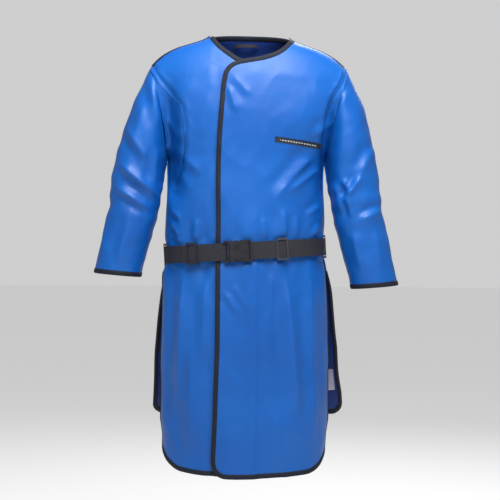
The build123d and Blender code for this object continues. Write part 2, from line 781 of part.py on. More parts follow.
# Buckle plug: base with its strap bar, and the guide between the prongs
with BuildSketch() as plug_outline:
    with Locations(((PLUG_U[0] + PLUG_U[1]) / 2, 0)):
        RectangleRounded(PLUG_U[1] - PLUG_U[0], BUCKLE_WIDTH, BUCKLE_CORNER)
    with BuildLine():
        Polyline(
            (PLUG_U[1] - 2, GUIDE_HALF),
            (PRONG_TIP_U + GUIDE_TIP[0], GUIDE_HALF - GUIDE_TAPER[0]),
            (PRONG_TIP_U + GUIDE_TIP[1], GUIDE_HALF - GUIDE_TAPER[1]),
            (PRONG_TIP_U + GUIDE_TIP[1], GUIDE_TAPER[1] - GUIDE_HALF),
            (PRONG_TIP_U + GUIDE_TIP[0], GUIDE_TAPER[0] - GUIDE_HALF),
            (PLUG_U[1] - 2, -GUIDE_HALF),
            close=True,
        )
    make_face()

with BuildSketch() as plug_slot:
    with Locations((PLUG_U[0] + BAR + SLOT / 2, 0)):
        Rectangle(SLOT, WEB_WIDTH + 2 * WEB_ROOM)

# Sockets for the prongs' roots, cut into the base
with BuildSketch() as prong_seats:
    with Locations(PRONG_ROOT, (PRONG_ROOT[0], -PRONG_ROOT[1])):
        Circle(PRONG_ROOT_R + PRONG_ROOM)

with BuildPart() as buckle_plug:
    add(arc_plate(PLUG_U, SOCKET_N, BUCKLE_WIDTH / 2))
    add(arc_plate((PLUG_U[1] - 1, 6), PLUG_N, BUCKLE_WIDTH / 2))
    add(through_buckle(plug_outline.sketch), mode=Mode.INTERSECT)
    add(through_buckle(plug_slot.sketch), mode=Mode.SUBTRACT)
    strap_us = (PLUG_U[0] - SPARE, PLUG_U[0] + BAR + SLOT / 2)
    strap_room = arc_plate(strap_us, (FRONT_WEB - ADJUSTER_GAP, REACH), WEB_WIDTH / 2 + WEB_ROOM)
    add(strap_room, mode=Mode.SUBTRACT)
    add(through_buckle(prong_seats.sketch), mode=Mode.SUBTRACT)
save(buckle_plug.part, "buckle_plug")


def prong(side):
    """A spring arm with a thumb pad, turning about its round root."""
    root_u, root_w = PRONG_ROOT
    with BuildSketch() as outline:
        with Locations((root_u, side * root_w)):
            Circle(PRONG_ROOT_R)
        with BuildLine():
            Polyline(
                (root_u, side * (root_w - PRONG_HALF_THICK)),
                (PRONG_HEAD_U, side * (root_w - 1.5)),
                (PRONG_TIP_U, side * (root_w - 2.5)),
                (PRONG_TIP_U, side * (PRONG_HALF_OUT - CATCH_STEP - 0.5)),
                (PRONG_TIP_U - CATCH_STEP, side * PRONG_HALF_OUT),
                (PRONG_HEAD_U + 0.5, side * PRONG_HALF_OUT),
                (PRONG_HEAD_U - 1, side * (root_w + 2.6)),
                (root_u, side * (root_w + PRONG_HALF_THICK)),
                close=True,
            )
        make_face()
    with BuildPart() as arm:
        add(arc_plate((root_u - 6, 0), PLUG_N, BUCKLE_WIDTH / 2))
        add(through_buckle(outline.sketch), mode=Mode.INTERSECT)
    return arm.part


save(prong(1), "buckle_prong_upper")
save(prong(-1), "buckle_prong_lower")

# Strap adjusters: two bars in front of the strap, one behind it, joined by rails above and below
for name, middle in ADJUSTERS.items():
    ends = (middle - ADJUSTER_LENGTH / 2, middle + ADJUSTER_LENGTH / 2)
    centre_bar = (middle - ADJUSTER_BAR / 2, middle + ADJUSTER_BAR / 2)
    with BuildPart() as adjuster:
        behind, before = WEB + ADJUSTER_GAP, FRONT_WEB + WEB + ADJUSTER_GAP
        inner_half = WEB_WIDTH / 2 + ADJUSTER_SIDE
        add(arc_plate(ends, (behind, ADJUSTER_FRONT_N), ADJUSTER_HALF))
        opening = (ends[0] + ADJUSTER_BAR, ends[1] - ADJUSTER_BAR)
        add(arc_plate(opening, (0, 2 * ADJUSTER_FRONT_N), inner_half), mode=Mode.SUBTRACT)
        strap_path = (ends[0] - SPARE, ends[1] + SPARE)
        add(arc_plate(strap_path, (0, before), inner_half), mode=Mode.SUBTRACT)
        add(arc_plate(centre_bar, (behind, FRONT_WEB - ADJUSTER_GAP), ADJUSTER_HALF))
    save(adjuster.part, name)

# Belt loops at the side seams and the middle of the back
for name, aside, behind in (("belt_loop_left", 1, 0), ("belt_loop_back", 0, 1), ("belt_loop_right", -1, 0)):
    reach = (BELT_HALF_DEPTH if behind else BELT_HALF_WIDTH) + WEB / 2
    middle = (aside * reach, behind * reach)
    room = WEB + 2 * LOOP_ROOM
    with BuildPart() as belt_loop:
        for half, thick, wide, mode in (
            (LOOP_HALF, room + 2 * LOOP_WEB, LOOP_WIDTH, Mode.ADD),
            (LOOP_HALF - LOOP_END, room, LOOP_WIDTH + 2, Mode.SUBTRACT),
        ):
            with BuildSketch(BELT_PLANE.offset(-half)):
                with Locations(middle):
                    Rectangle(*((wide, thick) if behind else (thick, wide)))
            extrude(amount=2 * half, mode=mode)
    save(belt_loop.part, name)
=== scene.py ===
"""The lead apron's looks: cloth panels, bindings, folds and materials on the fixed frame. Metres.

Lengths that describe the garment are written in millimetres and turned into metres by MM. A point in the
front view is (x, z), with x towards the wearer's left, and the front is on the -y side. A side is 1 for the
wearer's left and -1 for the right.
"""

import math

import bmesh
import bpy
import numpy as np
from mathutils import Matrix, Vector, noise


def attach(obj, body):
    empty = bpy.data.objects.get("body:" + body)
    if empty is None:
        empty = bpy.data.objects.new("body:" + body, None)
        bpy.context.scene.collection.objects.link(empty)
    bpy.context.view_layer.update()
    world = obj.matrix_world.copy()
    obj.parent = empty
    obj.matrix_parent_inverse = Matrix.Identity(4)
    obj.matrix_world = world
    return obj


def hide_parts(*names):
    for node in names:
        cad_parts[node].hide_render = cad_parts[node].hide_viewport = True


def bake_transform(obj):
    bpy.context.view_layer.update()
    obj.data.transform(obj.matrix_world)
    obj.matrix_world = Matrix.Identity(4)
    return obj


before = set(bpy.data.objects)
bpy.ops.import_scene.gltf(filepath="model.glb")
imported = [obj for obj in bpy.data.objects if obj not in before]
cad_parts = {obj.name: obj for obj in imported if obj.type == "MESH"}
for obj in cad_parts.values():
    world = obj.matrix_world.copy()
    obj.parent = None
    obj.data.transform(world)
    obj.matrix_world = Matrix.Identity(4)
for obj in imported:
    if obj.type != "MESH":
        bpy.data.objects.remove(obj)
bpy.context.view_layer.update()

MM = 0.001
# A panel's thickness, and how far the left front lies ahead of the right front
PANEL = 3.4
OVERLAP = 6.2

# The armhole's top and foot, and how far its line bows in between them
ARM_TOP = (232, -70)
ARM_PIT = (186, -287)
ARM_BOW = 5
# Heights of the panels' upper edges, the belt, the tops of the side slits, and the hems
LEFT_NECK_Z = -3
RIGHT_NECK_Z = -1
BACK_NECK_Z = 20
WAIST_Z = -500
SLIT_Z = -545
HEM_Z = -1018
BACK_HEM_Z = -893
# The lines over which the left front's free edge folds open, and half the width of the bend
LAPEL_FOLD = ((-60, -462), (35, -50))
FLAP_FOLD = ((-63, -548), (95, -1025))
FOLD_HALF = 9
BELT_SLOPE = math.tan(math.radians(3.4))
# The armhole seam as it crosses the front, from the shoulder to the underarm, beside each sleeve
ARM_SEAM = {
    1: [(229, -76), (214, -112), (196, -142), (185, -178), (179, -220), (177, -270), (180, -330)],
    -1: [
        (-226, -74), (-206, -108), (-180, -138), (-152, -170), (-143, -215), (-140, -262), (-147, -310),
        (-163, -350),
    ],
}
SEAM_HALF = 4.0
SEAM_DEPTH = 1.5
# The soft roll on either side of the seam: its height, its place and its half width
ROLL_HEIGHT = 0.9
ROLL_AWAY = 2.6 * SEAM_HALF
ROLL_HALF = 1.6 * SEAM_HALF
# The hollow where the arm hangs against the chest: its line, half width and depth beside each sleeve
ARM_HOLLOW = {1: ((200, -150), (188, -400), 15, 28), -1: ((-188, -130), (-166, -400), 21, 38)}
# The coat hangs askew, more and more from below the chest up: the yoke lies towards the wearer's left and its
# left shoulder is lower
YOKE_SHIFT = 8.0
YOKE_TILT = 0.02
YOKE_FROM = -330
YOKE_RISE = 230
SKIRT_SHIFT = 9.0


# --- Camera ---
CAMERA_AWAY = 3.0
CAMERA_X = 0.012
CAMERA_Z = -0.498
CAMERA_ROLL = math.radians(-0.35)
# Width of the view at the coat
VIEW_ACROSS = 1.185
SENSOR = 36
VIEW_LIMIT = 50


def make_camera():
    """Looks level at the front of the coat."""
    data = bpy.data.cameras.new("camera")
    camera = bpy.data.objects.new("camera", data)
    bpy.context.scene.collection.objects.link(camera)
    data.sensor_width = SENSOR
    data.lens = data.sensor_width * CAMERA_AWAY / VIEW_ACROSS
    data.clip_end = VIEW_LIMIT
    camera.location = (CAMERA_X, -CAMERA_AWAY, CAMERA_Z)
    camera.rotation_euler = (math.pi / 2, CAMERA_ROLL, 0)
    bpy.context.scene.camera = camera


make_camera()


# --- Curves and grids ---
TINY = 1e-9


def smooth(t):
    """Rises smoothly from 0 at t = 0 to 1 at t = 1."""
    t = np.clip(t, 0, 1)
    return t * t * (3 - 2 * t)


def curve(*points):
    """A smooth function through (place, value) points, level beyond its ends."""
    xs, ys = np.array(sorted(points), float).T
    steps = np.diff(ys) / np.diff(xs)
    slopes = np.zeros(len(xs))
    same = steps[:-1] * steps[1:] > 0
    slopes[1:-1][same] = 2 * steps[:-1][same] * steps[1:][same] / (steps[:-1] + steps[1:])[same]
    slopes[0], slopes[-1] = steps[0], steps[-1]

    def at(x):
        x = np.clip(x, xs[0], xs[-1])
        i = np.clip(np.searchsorted(xs, x) - 1, 0, len(xs) - 2)
        gap = xs[i + 1] - xs[i]
        t = (x - xs[i]) / gap
        return (
            ys[i] * (1 + 2 * t) * (1 - t) ** 2
            + slopes[i] * gap * t * (1 - t) ** 2
            + ys[i + 1] * t * t * (3 - 2 * t)
            + slopes[i + 1] * gap * t * t * (t - 1)
        )

    return at


def unit(vectors):
    """Vectors brought to a length of 1."""
    return vectors / np.maximum(np.linalg.norm(vectors, axis=-1, keepdims=True), TINY)


def normals(grid):
    """Unit normals of a grid of points, shape (rows, columns, 3)."""
    return unit(np.cross(np.gradient(grid, axis=0), np.gradient(grid, axis=1)))


def away_from(n, grid, middle):
    """The normals of a grid, turned so that they point away from its middle."""
    return -n if ((grid - middle) * n).sum() < 0 else n


def outward(grid):
    """Normals that point away from the axis of the body that the grid wraps."""
    return away_from(normals(grid), grid, grid.reshape(-1, 3).mean(0))


def tube_normals(grid, centre):
    """Normals of a tube whose rows are closed rings, away from its centre line."""
    wrapped = np.concatenate([grid[:, -1:], grid, grid[:, :1]], axis=1)
    return away_from(normals(wrapped)[:, 1:-1], grid, centre)


def row_at(heights, z):
    """The row of a grid that is nearest to a height."""
    return int(np.argmin(np.abs(np.array(heights) - z)))


def side_name(side):
    return "left" if side > 0 else "right"


def mesh_object(name, points, faces, materials, face_slots=None):
    """A smooth mesh of points in millimetres, with a material slot for each face."""
    mesh = bpy.data.meshes.new(name)
    mesh.from_pydata([tuple(p) for p in np.asarray(points) * MM], [], faces)
    for material in materials:
        mesh.materials.append(material)
    if face_slots is not None:
        mesh.polygons.foreach_set("material_index", face_slots)
    mesh.polygons.foreach_set("use_smooth", [True] * len(mesh.polygons))
    mesh.validate()
    mesh.update()
    obj = bpy.data.objects.new(name, mesh)
    bpy.context.scene.collection.objects.link(obj)
    return obj


def quads(rows, cols, start=0, wrap=False, flip=False):
    """Faces of a grid whose vertices start at `start`; wrap joins the last column to the first."""
    faces = []
    for i in range(rows - 1):
        upper, lower = start + i * cols, start + (i + 1) * cols
        for j in range(cols if wrap else cols - 1):
            k = (j + 1) % cols
            face = (upper + j, upper + k, lower + k, lower + j)
            faces.append(face[::-1] if flip else face)
    return faces


def thick_sheet(name, outer, out, thickness, materials, wrap=False):
    """A closed cloth panel: its outer grid, the inner grid `thickness` below it, and the rim."""
    rows, cols = outer.shape[:2]
    inner = outer - out * thickness
    count = rows * cols
    points = np.concatenate([outer.reshape(-1, 3), inner.reshape(-1, 3)])
    facing = (normals(outer) * out).sum() <= 0
    front = quads(rows, cols, 0, wrap, flip=not facing)
    back = quads(rows, cols, count, wrap, flip=facing)
    rim = []
    if wrap:
        edges = [[i * cols + j for j in list(range(cols)) + [0]] for i in (0, rows - 1)]
    else:
        edges = [
            list(range(cols))
            + [i * cols + cols - 1 for i in range(1, rows)]
            + [(rows - 1) * cols + j for j in range(cols - 2, -1, -1)]
            + [i * cols for i in range(rows - 2, -1, -1)]
        ]
    for number, edge in enumerate(edges):
        for a, b in zip(edge, edge[1:]):
            face = (a, b, b + count, a + count)
            rim.append(face if facing ^ (number == 1) else face[::-1])
    slots = [0] * len(front) + [1] * len(back) + [0] * len(rim)
    return mesh_object(name, points, front + back + rim, materials, slots)


# Binding tape: how far it reaches onto the panel, the pitch of its stitches and how much they draw it in
TAPE_REACH = 10.0
STITCH_PITCH = 7.3
STITCH_PULL = 0.16
STITCH_SINK = 0.7
# Half of its section, from its free edge round to the panel's edge, as (in from the edge, off the face)
TAPE_HALF = [(TAPE_REACH, 0.5), (TAPE_REACH - 0.6, 1.1), (TAPE_REACH * 0.5, 1.5), (1.0, 1.4), (-1.0, 0.7)]
TAPE_NOSE = -1.6


def tape(name, path, inward, out, material, closed=False):
    """Binding folded over an edge: `path` along the edge, `inward` into the panel, `out` off it."""
    section = TAPE_HALF + [(TAPE_NOSE, -PANEL / 2)] + [(t, -PANEL - n) for t, n in TAPE_HALF[::-1]]
    # the tape draws in a little between its stitches
    along = np.concatenate([[0], np.cumsum(np.linalg.norm(np.diff(path, axis=0), axis=1))])
    pull = STITCH_PULL * np.sin(along * 2 * math.pi / STITCH_PITCH)[:, None]
    rings = [
        path + inward * (t + pull * (t > TAPE_REACH / 2)) + out * (n + pull * STITCH_SINK) for t, n in section
    ]
    grid = np.stack(rings, axis=1)
    rows, cols = grid.shape[:2]
    faces = quads(rows, cols, wrap=True)
    if closed:
        last = (rows - 1) * cols
        faces += [(last + j, last + (j + 1) % cols, (j + 1) % cols, j) for j in range(cols)]
    else:
        faces += [tuple(range(cols))[::-1], tuple((rows - 1) * cols + j for j in range(cols))]
    obj = mesh_object(name, grid.reshape(-1, 3), faces, [material])
    recalculate(obj)
    return obj


def recalculate(obj):
    """Turns every face of a closed mesh outwards."""
    work = bmesh.new()
    work.from_mesh(obj.data)
    bmesh.ops.recalc_face_normals(work, faces=work.faces)
    work.to_mesh(obj.data)
    work.free()


def edge_run(rows, cols, start, stop):
    """Cells along a grid's edge: down its first column from `start`, along the hem, up its last to `stop`."""
    down = [(i, 0) for i in range(start, rows)]
    hem = [(rows - 1, j) for j in range(1, cols)]
    return down + hem + [(i, cols - 1) for i in range(rows - 2, stop, -1)]


# Least distance between the points of an edge's path, and how many cells in from the edge its inside is
PATH_STEP = 2.5
CELLS_IN = 6


def edge_frame(grid, out, run):
    """Path, inward and outward directions along grid cells `run`, a list of (row, column)."""
    keep = [run[0]]
    for cell in run[1:]:
        if np.linalg.norm(grid[cell] - grid[keep[-1]]) > PATH_STEP:
            keep.append(cell)
    path = np.array([grid[c] for c in keep])
    off = np.array([out[c] for c in keep])
    inward = unit(np.cross(off, unit(np.gradient(path, axis=0))))
    inner = [np.clip(cells, CELLS_IN, count - 1 - CELLS_IN) for cells, count in zip(zip(*keep), grid.shape)]
    towards = grid[tuple(inner)] - path
    if np.sign((inward * towards).sum(1)).sum() < 0:
        inward = -inward
    return path, inward, off


# --- The body's shape ---
# Half the body's width and half its depth, as (height, half)
half_width = curve(
    (40, 84), (20, 92), (2, 99), (-6, 112), (-14, 134), (-28, 176), (-47, 209), (-70, 232), (-100, 252),
    (-140, 264), (-180, 258), (-220, 235), (-255, 207), (-287, 187), (-340, 185), (-430, 188),
    (-500, 186), (-560, 191), (-650, 197), (-780, 201), (-900, 200), (-1030, 194),
)
half_depth = curve(
    (40, 58), (20, 64), (0, 72), (-30, 86), (-62, 97), (-100, 107), (-150, 113), (-220, 115), (-300, 114),
    (-430, 113), (-500, 111), (-570, 115), (-700, 119), (-850, 120), (-1030, 118),
)


def arm_x(z):
    """How far out the armhole seam is at a height."""
    t = (np.asarray(z, float) - ARM_PIT[1]) / (ARM_TOP[1] - ARM_PIT[1])
    return ARM_PIT[0] + t * (ARM_TOP[0] - ARM_PIT[0]) - ARM_BOW * np.sin(np.clip(t, 0, 1) * math.pi)


def outer_angle(z):
    """Where a panel ends round the body: at the side seam, the shoulder seam or the armhole."""
    z = np.asarray(z, float)
    inside = (z < ARM_TOP[1]) & (z > ARM_PIT[1])
    ratio = np.where(inside, arm_x(z) / half_width(z), 1.0)
    return np.arcsin(np.clip(ratio, -1, 1))


# Folds: the share of their length over which an end fades, the fall of their sides, the rounding of their
# crest, and the place (in widths) and depth (in heights) of the hollow beside them
FOLD_ENDS = 0.3
CREST_FALL = 1.3
CREST_ROUND = 0.03
CREST_TOP = 0.17
LEE_AWAY = 1.7
LEE_DEPTH = 0.6


def ridge(x, z, start, end, width, height):
    """A fold along a line in the front view: a ridge with a hollow beside it."""
    run = np.array(end, float) - start
    length = math.hypot(*run)
    ux, uz = run / length
    dx, dz = x - start[0], z - start[1]
    along = (dx * ux + dz * uz) / length
    off = dx * uz - dz * ux
    fade = smooth(along / FOLD_ENDS) * smooth((1 - along) / FOLD_ENDS)
    crest = np.exp(-CREST_FALL * (np.sqrt((off / width) ** 2 + CREST_ROUND) - CREST_TOP))
    return height * fade * (crest - LEE_DEPTH * np.exp(-(((off - LEE_AWAY * width) / width) ** 2)))


def wavy(x, y, z, scale, seed):
    """Smooth noise at points, of about unit size."""
    flat = np.stack([np.ravel(x) / scale, np.ravel(y) / scale, np.ravel(z) / scale + seed], axis=1)
    return np.array([noise.noise(p) for p in flat]).reshape(np.shape(x))


def belt_level(x, z):
    """Height above the belt's leaning centre line."""
    return z - WAIST_Z - x * BELT_SLOPE


# Pleats at the belt: the heights and widths of a wide and a narrow set (a wave is 2 pi of its width), how far
# above and below it they reach, and where they have grown to their full height
WIDE_PLEAT, WIDE_ACROSS = 1.6, 11.0
NARROW_PLEAT, NARROW_ACROSS = 1.1, 6.1
PLEAT_REACH = 75
PLEAT_FULL = 34


def belt_squeeze(x, z):
    """The cloth gathers where the belt holds it: small upright pleats fading up and down."""
    level = belt_level(x, z)
    near = np.exp(-((level / PLEAT_REACH) ** 2))
    wide = WIDE_PLEAT * np.sin(x / WIDE_ACROSS + 0.8 * np.sin(z / 47))
    narrow = NARROW_PLEAT * np.sin(x / NARROW_ACROSS + 1.3)
    return near * (wide + narrow) * smooth(np.abs(level) / PLEAT_FULL)


# Heights of the cloth's irregularities: a factor on the folds, sharp creases, and slow waves and their size
FOLD_STRENGTH = 1.35
CREASE = 2.6
WAVE = 3.0
WAVE_SIZE = 120
# Each fold is its start, its end, its half width and its height
LEFT_FOLDS = [
    ((167, -262), (60, -392), 15, 5.0), ((182, -300), (92, -372), 9, 3.4),
    ((-50, -116), (-24, -190), 9, 2.6), ((-40, -98), (8, -150), 10, 2.0),
    ((88, -398), (93, -478), 10, 3.0), ((120, -410), (116, -480), 8, 2.2),
    ((40, -420), (52, -482), 8, 2.0), ((91, -520), (124, -900), 17, 8.0),
    ((150, -540), (163, -960), 14, 5.5), ((60, -545), (66, -650), 9, 2.6),
    ((-48, -590), (-8, -652), 8, 2.4), ((-28, -575), (12, -640), 7, 1.8),
    ((10, -560), (20, -700), 11, 2.2), ((175, -430), (150, -485), 7, 3.0),
    ((178, -392), (140, -420), 7, 2.6), ((205, -190), (150, -240), 11, 3.0),
    ((70, -860), (90, -1010), 16, 3.0),
]
RIGHT_FOLDS = [
    ((-170, -255), (-92, -330), 13, 3.6), ((-176, -430), (-150, -470), 6, 3.2),
    ((-177, -400), (-146, -430), 7, 3.0), ((-172, -462), (-140, -488), 6, 2.6),
    ((-110, -425), (-116, -482), 9, 2.6), ((-85, -545), (-96, -760), 15, 4.2),
    ((-140, -520), (-158, -900), 15, 6.5), ((-120, -700), (-128, -1000), 17, 3.4),
    ((-200, -180), (-150, -250), 11, 3.2), ((-90, -130), (-110, -250), 20, 2.2),
    ((-180, -560), (-190, -760), 10, 3.0),
]
BACK_FOLDS = [
    ((-120, -180), (-40, -330), 20, 4.0), ((120, -180), (44, -340), 20, 4.0),
    ((-60, -400), (-66, -480), 10, 3.0), ((70, -395), (74, -480), 10, 3.0),
    ((0, -420), (2, -480), 9, 2.4), ((-90, -560), (-110, -850), 20, 6.0),
    ((20, -560), (26, -860), 19, 5.0), ((110, -560), (130, -850), 20, 6.0),
    ((-160, -300), (-90, -360), 12, 3.0), ((160, -300), (92, -360), 12, 3.0),
]


def line_distance(x, z, points):
    """Distance in the front view from (x, z) to a line through points."""
    best = np.full(np.shape(x), np.inf)
    for (ax, az), (bx, bz) in zip(points, points[1:]):
        run_x, run_z = bx - ax, bz - az
        t = np.clip(((x - ax) * run_x + (z - az) * run_z) / (run_x**2 + run_z**2), 0, 1)
        best = np.minimum(best, np.hypot(x - ax - t * run_x, z - az - t * run_z))
    return best


def seam_dip(x, z, side):
    """A stitched seam: a narrow valley between two soft rolls, which the stitches pucker."""
    gap = line_distance(x, z, ARM_SEAM[side])
    pucker = 1 + 0.5 * np.sin(z / 5.2 + x / 9)
    roll = ROLL_HEIGHT * np.exp(-(((gap - ROLL_AWAY) / ROLL_HALF) ** 2)) * pucker
    return roll - SEAM_DEPTH * np.exp(-((gap / SEAM_HALF) ** 2))


def hollow(x, z, side):
    """How far back the cloth lies in the hollow between the chest and the arm."""
    start, end, half, depth = ARM_HOLLOW[side]
    t = (start[1] - z) / (start[1] - end[1])
    line = start[0] + (end[0] - start[0]) * np.clip(t, 0, 1)
    # it fades towards both ends of its line
    fade = smooth(t / 0.5 + 0.35) * smooth((1 - t) / 0.25)
    return depth * fade * np.exp(-(((x - line) / half) ** 2))


def askew(points):
    """Points of the coat as it hangs, a little to one side above the chest."""
    weight = smooth((points[..., 2] - YOKE_FROM) / YOKE_RISE)
    moved = points.copy()
    moved[..., 0] += YOKE_SHIFT * weight
    moved[..., 2] -= YOKE_TILT * points[..., 0] * weight
    return moved


def creased(x, y, z, seed, wide=95, long=150):
    """Sharp-crested creases in stiff coated cloth, of about unit height, `wide` across and `long` down."""
    stretch = z * wide / long
    # two crossing sets, each with a sharp crest where its noise passes zero
    first = wavy(x + 0.3 * z, y, stretch, wide, seed)
    second = wavy(x - 0.5 * z, y, stretch, 0.6 * wide, seed + 31)
    return 0.35 - np.abs(first) * 1.6 + 0.5 * (0.3 - np.abs(second) * 1.5)


# The skirt's flutes: their height, their width (a wave is 2 pi of these), where they begin and grow
FLUTE = 3.6
FLUTE_WIDTH = 27
FLUTE_FROM = -530
FLUTE_GROWTH = 260
# The belt presses the cloth flat over this half height and sinks it by this much
BELT_HALF = 30
BELT_SINK = 0.6
# The cloth lies smooth above this height, and takes its full relief this much lower
YOKE_SMOOTH = -45
YOKE_FADE = 60


def lifted(x, y, z, folds, seed):
    """How far a panel stands off its form: its folds, its gathers at the belt and its own waviness."""
    lift = sum(ridge(x, z, *fold) for fold in folds)
    lift = lift + belt_squeeze(x, z)
    lift = FOLD_STRENGTH * lift + WAVE * wavy(x, y, z, WAVE_SIZE, seed) + CREASE * creased(x, y, z, seed)
    skirt = smooth((FLUTE_FROM - z) / FLUTE_GROWTH)
    lift = lift + skirt * FLUTE * np.sin(x / FLUTE_WIDTH + seed + 0.5 * np.sin(z / 150))
    under_belt = np.exp(-((belt_level(x, z) / BELT_HALF) ** 6))
    lift = lift * (1 - under_belt) - BELT_SINK * under_belt
    return lift * smooth((YOKE_SMOOTH - z) / YOKE_FADE)


def hung(grid):
    """A grid as it hangs, and its normals."""
    moved = askew(grid)
    return moved, outward(moved)


def folded(grid, lift):
    """A grid moved along its normals by `lift`."""
    return grid + outward(grid) * lift[..., None]


def front_grid(heights, inner_x, columns, hem, forward=0.0):
    """Points of a front on the body, between x = inner_x(z) and its outer edge; hem(x, z) raises its hem."""
    z = np.asarray(heights, float)
    a = half_width(z)
    start = np.arcsin(np.clip(inner_x(z) / a, -1, 1))
    t = np.linspace(0, 1, columns)
    angle = start[:, None] + (outer_angle(z) - start)[:, None] * t[None, :]
    zz = np.repeat(z[:, None], columns, axis=1)
    x = a[:, None] * np.sin(angle)
    zz = zz + hem(x, zz)
    y = -half_depth(zz) * np.cos(angle) - forward * np.cos(angle)
    return np.stack([x, y, zz], axis=2)


# Distances between the rows of a grid: over the shoulders, and below them after a change
FINE_ROW = 1.4
COARSE_ROW = 4.0
COARSE_FROM = -20
COARSE_CHANGE = 90


def steps(top, bottom):
    """Heights from top to bottom: close together over the shoulders, wider below them."""
    heights = [top]
    while heights[-1] > bottom:
        z = heights[-1]
        wider = float(smooth((COARSE_FROM - z) / COARSE_CHANGE))
        heights.append(z - (FINE_ROW + (COARSE_ROW - FINE_ROW) * wider))
    heights[-1] = bottom
    if heights[-2] - bottom < FINE_ROW:
        heights.pop(-2)
    return heights


# Inner edges of the panels by height: the neckline and then the free edge
left_inner = curve(
    (0, 98), (-5, 97), (-17, 88), (-30, 76), (-40, 62), (-52, 32), (-58, 6), (-62, -16), (-70, -38),
    (-80, -50), (-95, -58), (-130, -63), (-240, -66), (-500, -64), (-700, -64), (-840, -68), (-1018, -73),
)
right_inner_neck = curve((0, -86), (-19, -73), (-32, -60), (-43, -45), (-54, -30), (-62, -14))
# Below the neckline the right front runs in under the left one, from a height and over a short drop
UNDERLAP_Z = -64
UNDERLAP_DROP = 14
UNDERLAP_START = -14
UNDERLAP_WIDTH = 52


def right_inner(z):
    """The right front's inner edge: the neckline, and then its edge under the left front."""
    z = np.asarray(z, float)
    under = UNDERLAP_START + UNDERLAP_WIDTH * smooth((UNDERLAP_Z - z) / UNDERLAP_DROP)
    return np.where(z > UNDERLAP_Z, right_inner_neck(z), under)


# Radii of the hem's corners, at the free edge and at the side, and the places of these on the left front
CORNER = 34
SIDE_CORNER = 52
HEM_FREE_X = -73
HEM_SIDE_X = 196
# The right front has no corner at its free edge, so its place is off the coat
NO_CORNER_X = -400
# The hem's shape fades out upwards to this height, and it bows up towards the sides
HEM_FADE_Z = -860
HEM_BOW = 10
HEM_BOW_X = 190


def hem_lift(x, z, free_x):
    """How the hem rises: rounded at the free edge and, more widely, at the side."""
    near = smooth((HEM_FADE_Z - z) / (HEM_FADE_Z - HEM_Z))
    free = np.clip(CORNER - np.abs(x - free_x), 0, CORNER)
    side = np.clip(SIDE_CORNER - (HEM_SIDE_X - np.abs(x)), 0, SIDE_CORNER) * (x > 0)
    lift = CORNER - np.sqrt(np.maximum(CORNER**2 - free**2, 0))
    lift = lift + SIDE_CORNER - np.sqrt(np.maximum(SIDE_CORNER**2 - side**2, 0))
    bow = HEM_BOW * (x / HEM_BOW_X) ** 2
    return near * (lift + bow)


# --- Materials ---
def new_material(name):
    """A material with its node tree, which holds only a surface shader."""
    material = bpy.data.materials.new(name)
    material.use_nodes = True
    tree = material.node_tree
    tree.nodes.clear()
    output = tree.nodes.new("ShaderNodeOutputMaterial")
    shader = tree.nodes.new("ShaderNodeBsdfPrincipled")
    tree.links.new(shader.outputs["BSDF"], output.inputs["Surface"])
    return material, tree, shader


def set_inputs(node, **values):
    """Gives a node's inputs their values, and the node back."""
    for name, value in values.items():
        node.inputs[name.replace("_", " ")].default_value = value
    return node


def add_node(tree, kind, place=None, **inputs):
    """A new node with the values of some of its inputs, laid out by the coordinates `place`."""
    node = set_inputs(tree.nodes.new(kind), **inputs)
    if place is not None:
        tree.links.new(place, node.inputs["Vector"])
    return node


def tint(tree, shader, factor, low, high):
    """Colours the surface between two colours by a factor output, more steeply than the factor."""
    ramp = tree.nodes.new("ShaderNodeValToRGB")
    for stop, colour, position in zip(ramp.color_ramp.elements, (low, high), (0.3, 0.7)):
        stop.color = (*colour, 1)
        stop.position = position
    tree.links.new(factor, ramp.inputs["Fac"])
    tree.links.new(ramp.outputs["Color"], shader.inputs["Base Color"])


def bump(tree, height, strength, distance, over=None):
    """The normals of a bump by a height output, laid over the normals of another one."""
    node = add_node(tree, "ShaderNodeBump", Strength=strength, Distance=distance)
    tree.links.new(height, node.inputs["Height"])
    if over is not None:
        tree.links.new(over, node.inputs["Normal"])
    return node.outputs["Normal"]


def vary_roughness(tree, shader, factor, low, high):
    """Roughness between two values by a factor output."""
    node = add_node(tree, "ShaderNodeMapRange", To_Min=low, To_Max=high)
    tree.links.new(factor, node.inputs["Value"])
    tree.links.new(node.outputs["Result"], shader.inputs["Roughness"])


def coated_cloth(name, low, high, roughness, gloss, coat):
    """Coated fabric: broad colour variation, a pebbled skin and soft crumples."""
    material, tree, shader = new_material(name)
    place = tree.nodes.new("ShaderNodeTexCoord").outputs["Object"]
    broad = add_node(tree, "ShaderNodeTexNoise", place, Scale=5.0, Detail=4.0, Roughness=0.55)
    tint(tree, shader, broad.outputs["Fac"], low, high)
    pebble = add_node(tree, "ShaderNodeTexVoronoi", place, Scale=900.0, Randomness=0.9)
    crumple = add_node(tree, "ShaderNodeTexNoise", place, Scale=46.0, Detail=5.0, Roughness=0.6)
    fine = bump(tree, pebble.outputs["Distance"], 0.12, 0.0003)
    soft = bump(tree, crumple.outputs["Fac"], 0.16, 0.004, over=fine)
    tree.links.new(soft, shader.inputs["Normal"])
    vary_roughness(tree, shader, crumple.outputs["Fac"], roughness - 0.06, roughness + 0.08)
    set_inputs(shader, Specular_IOR_Level=gloss, Coat_Weight=coat, Coat_Roughness=0.26)
    return material


# Ribs of woven cloth are about 2 / rib metres apart
RIB_SCALE = 6.28


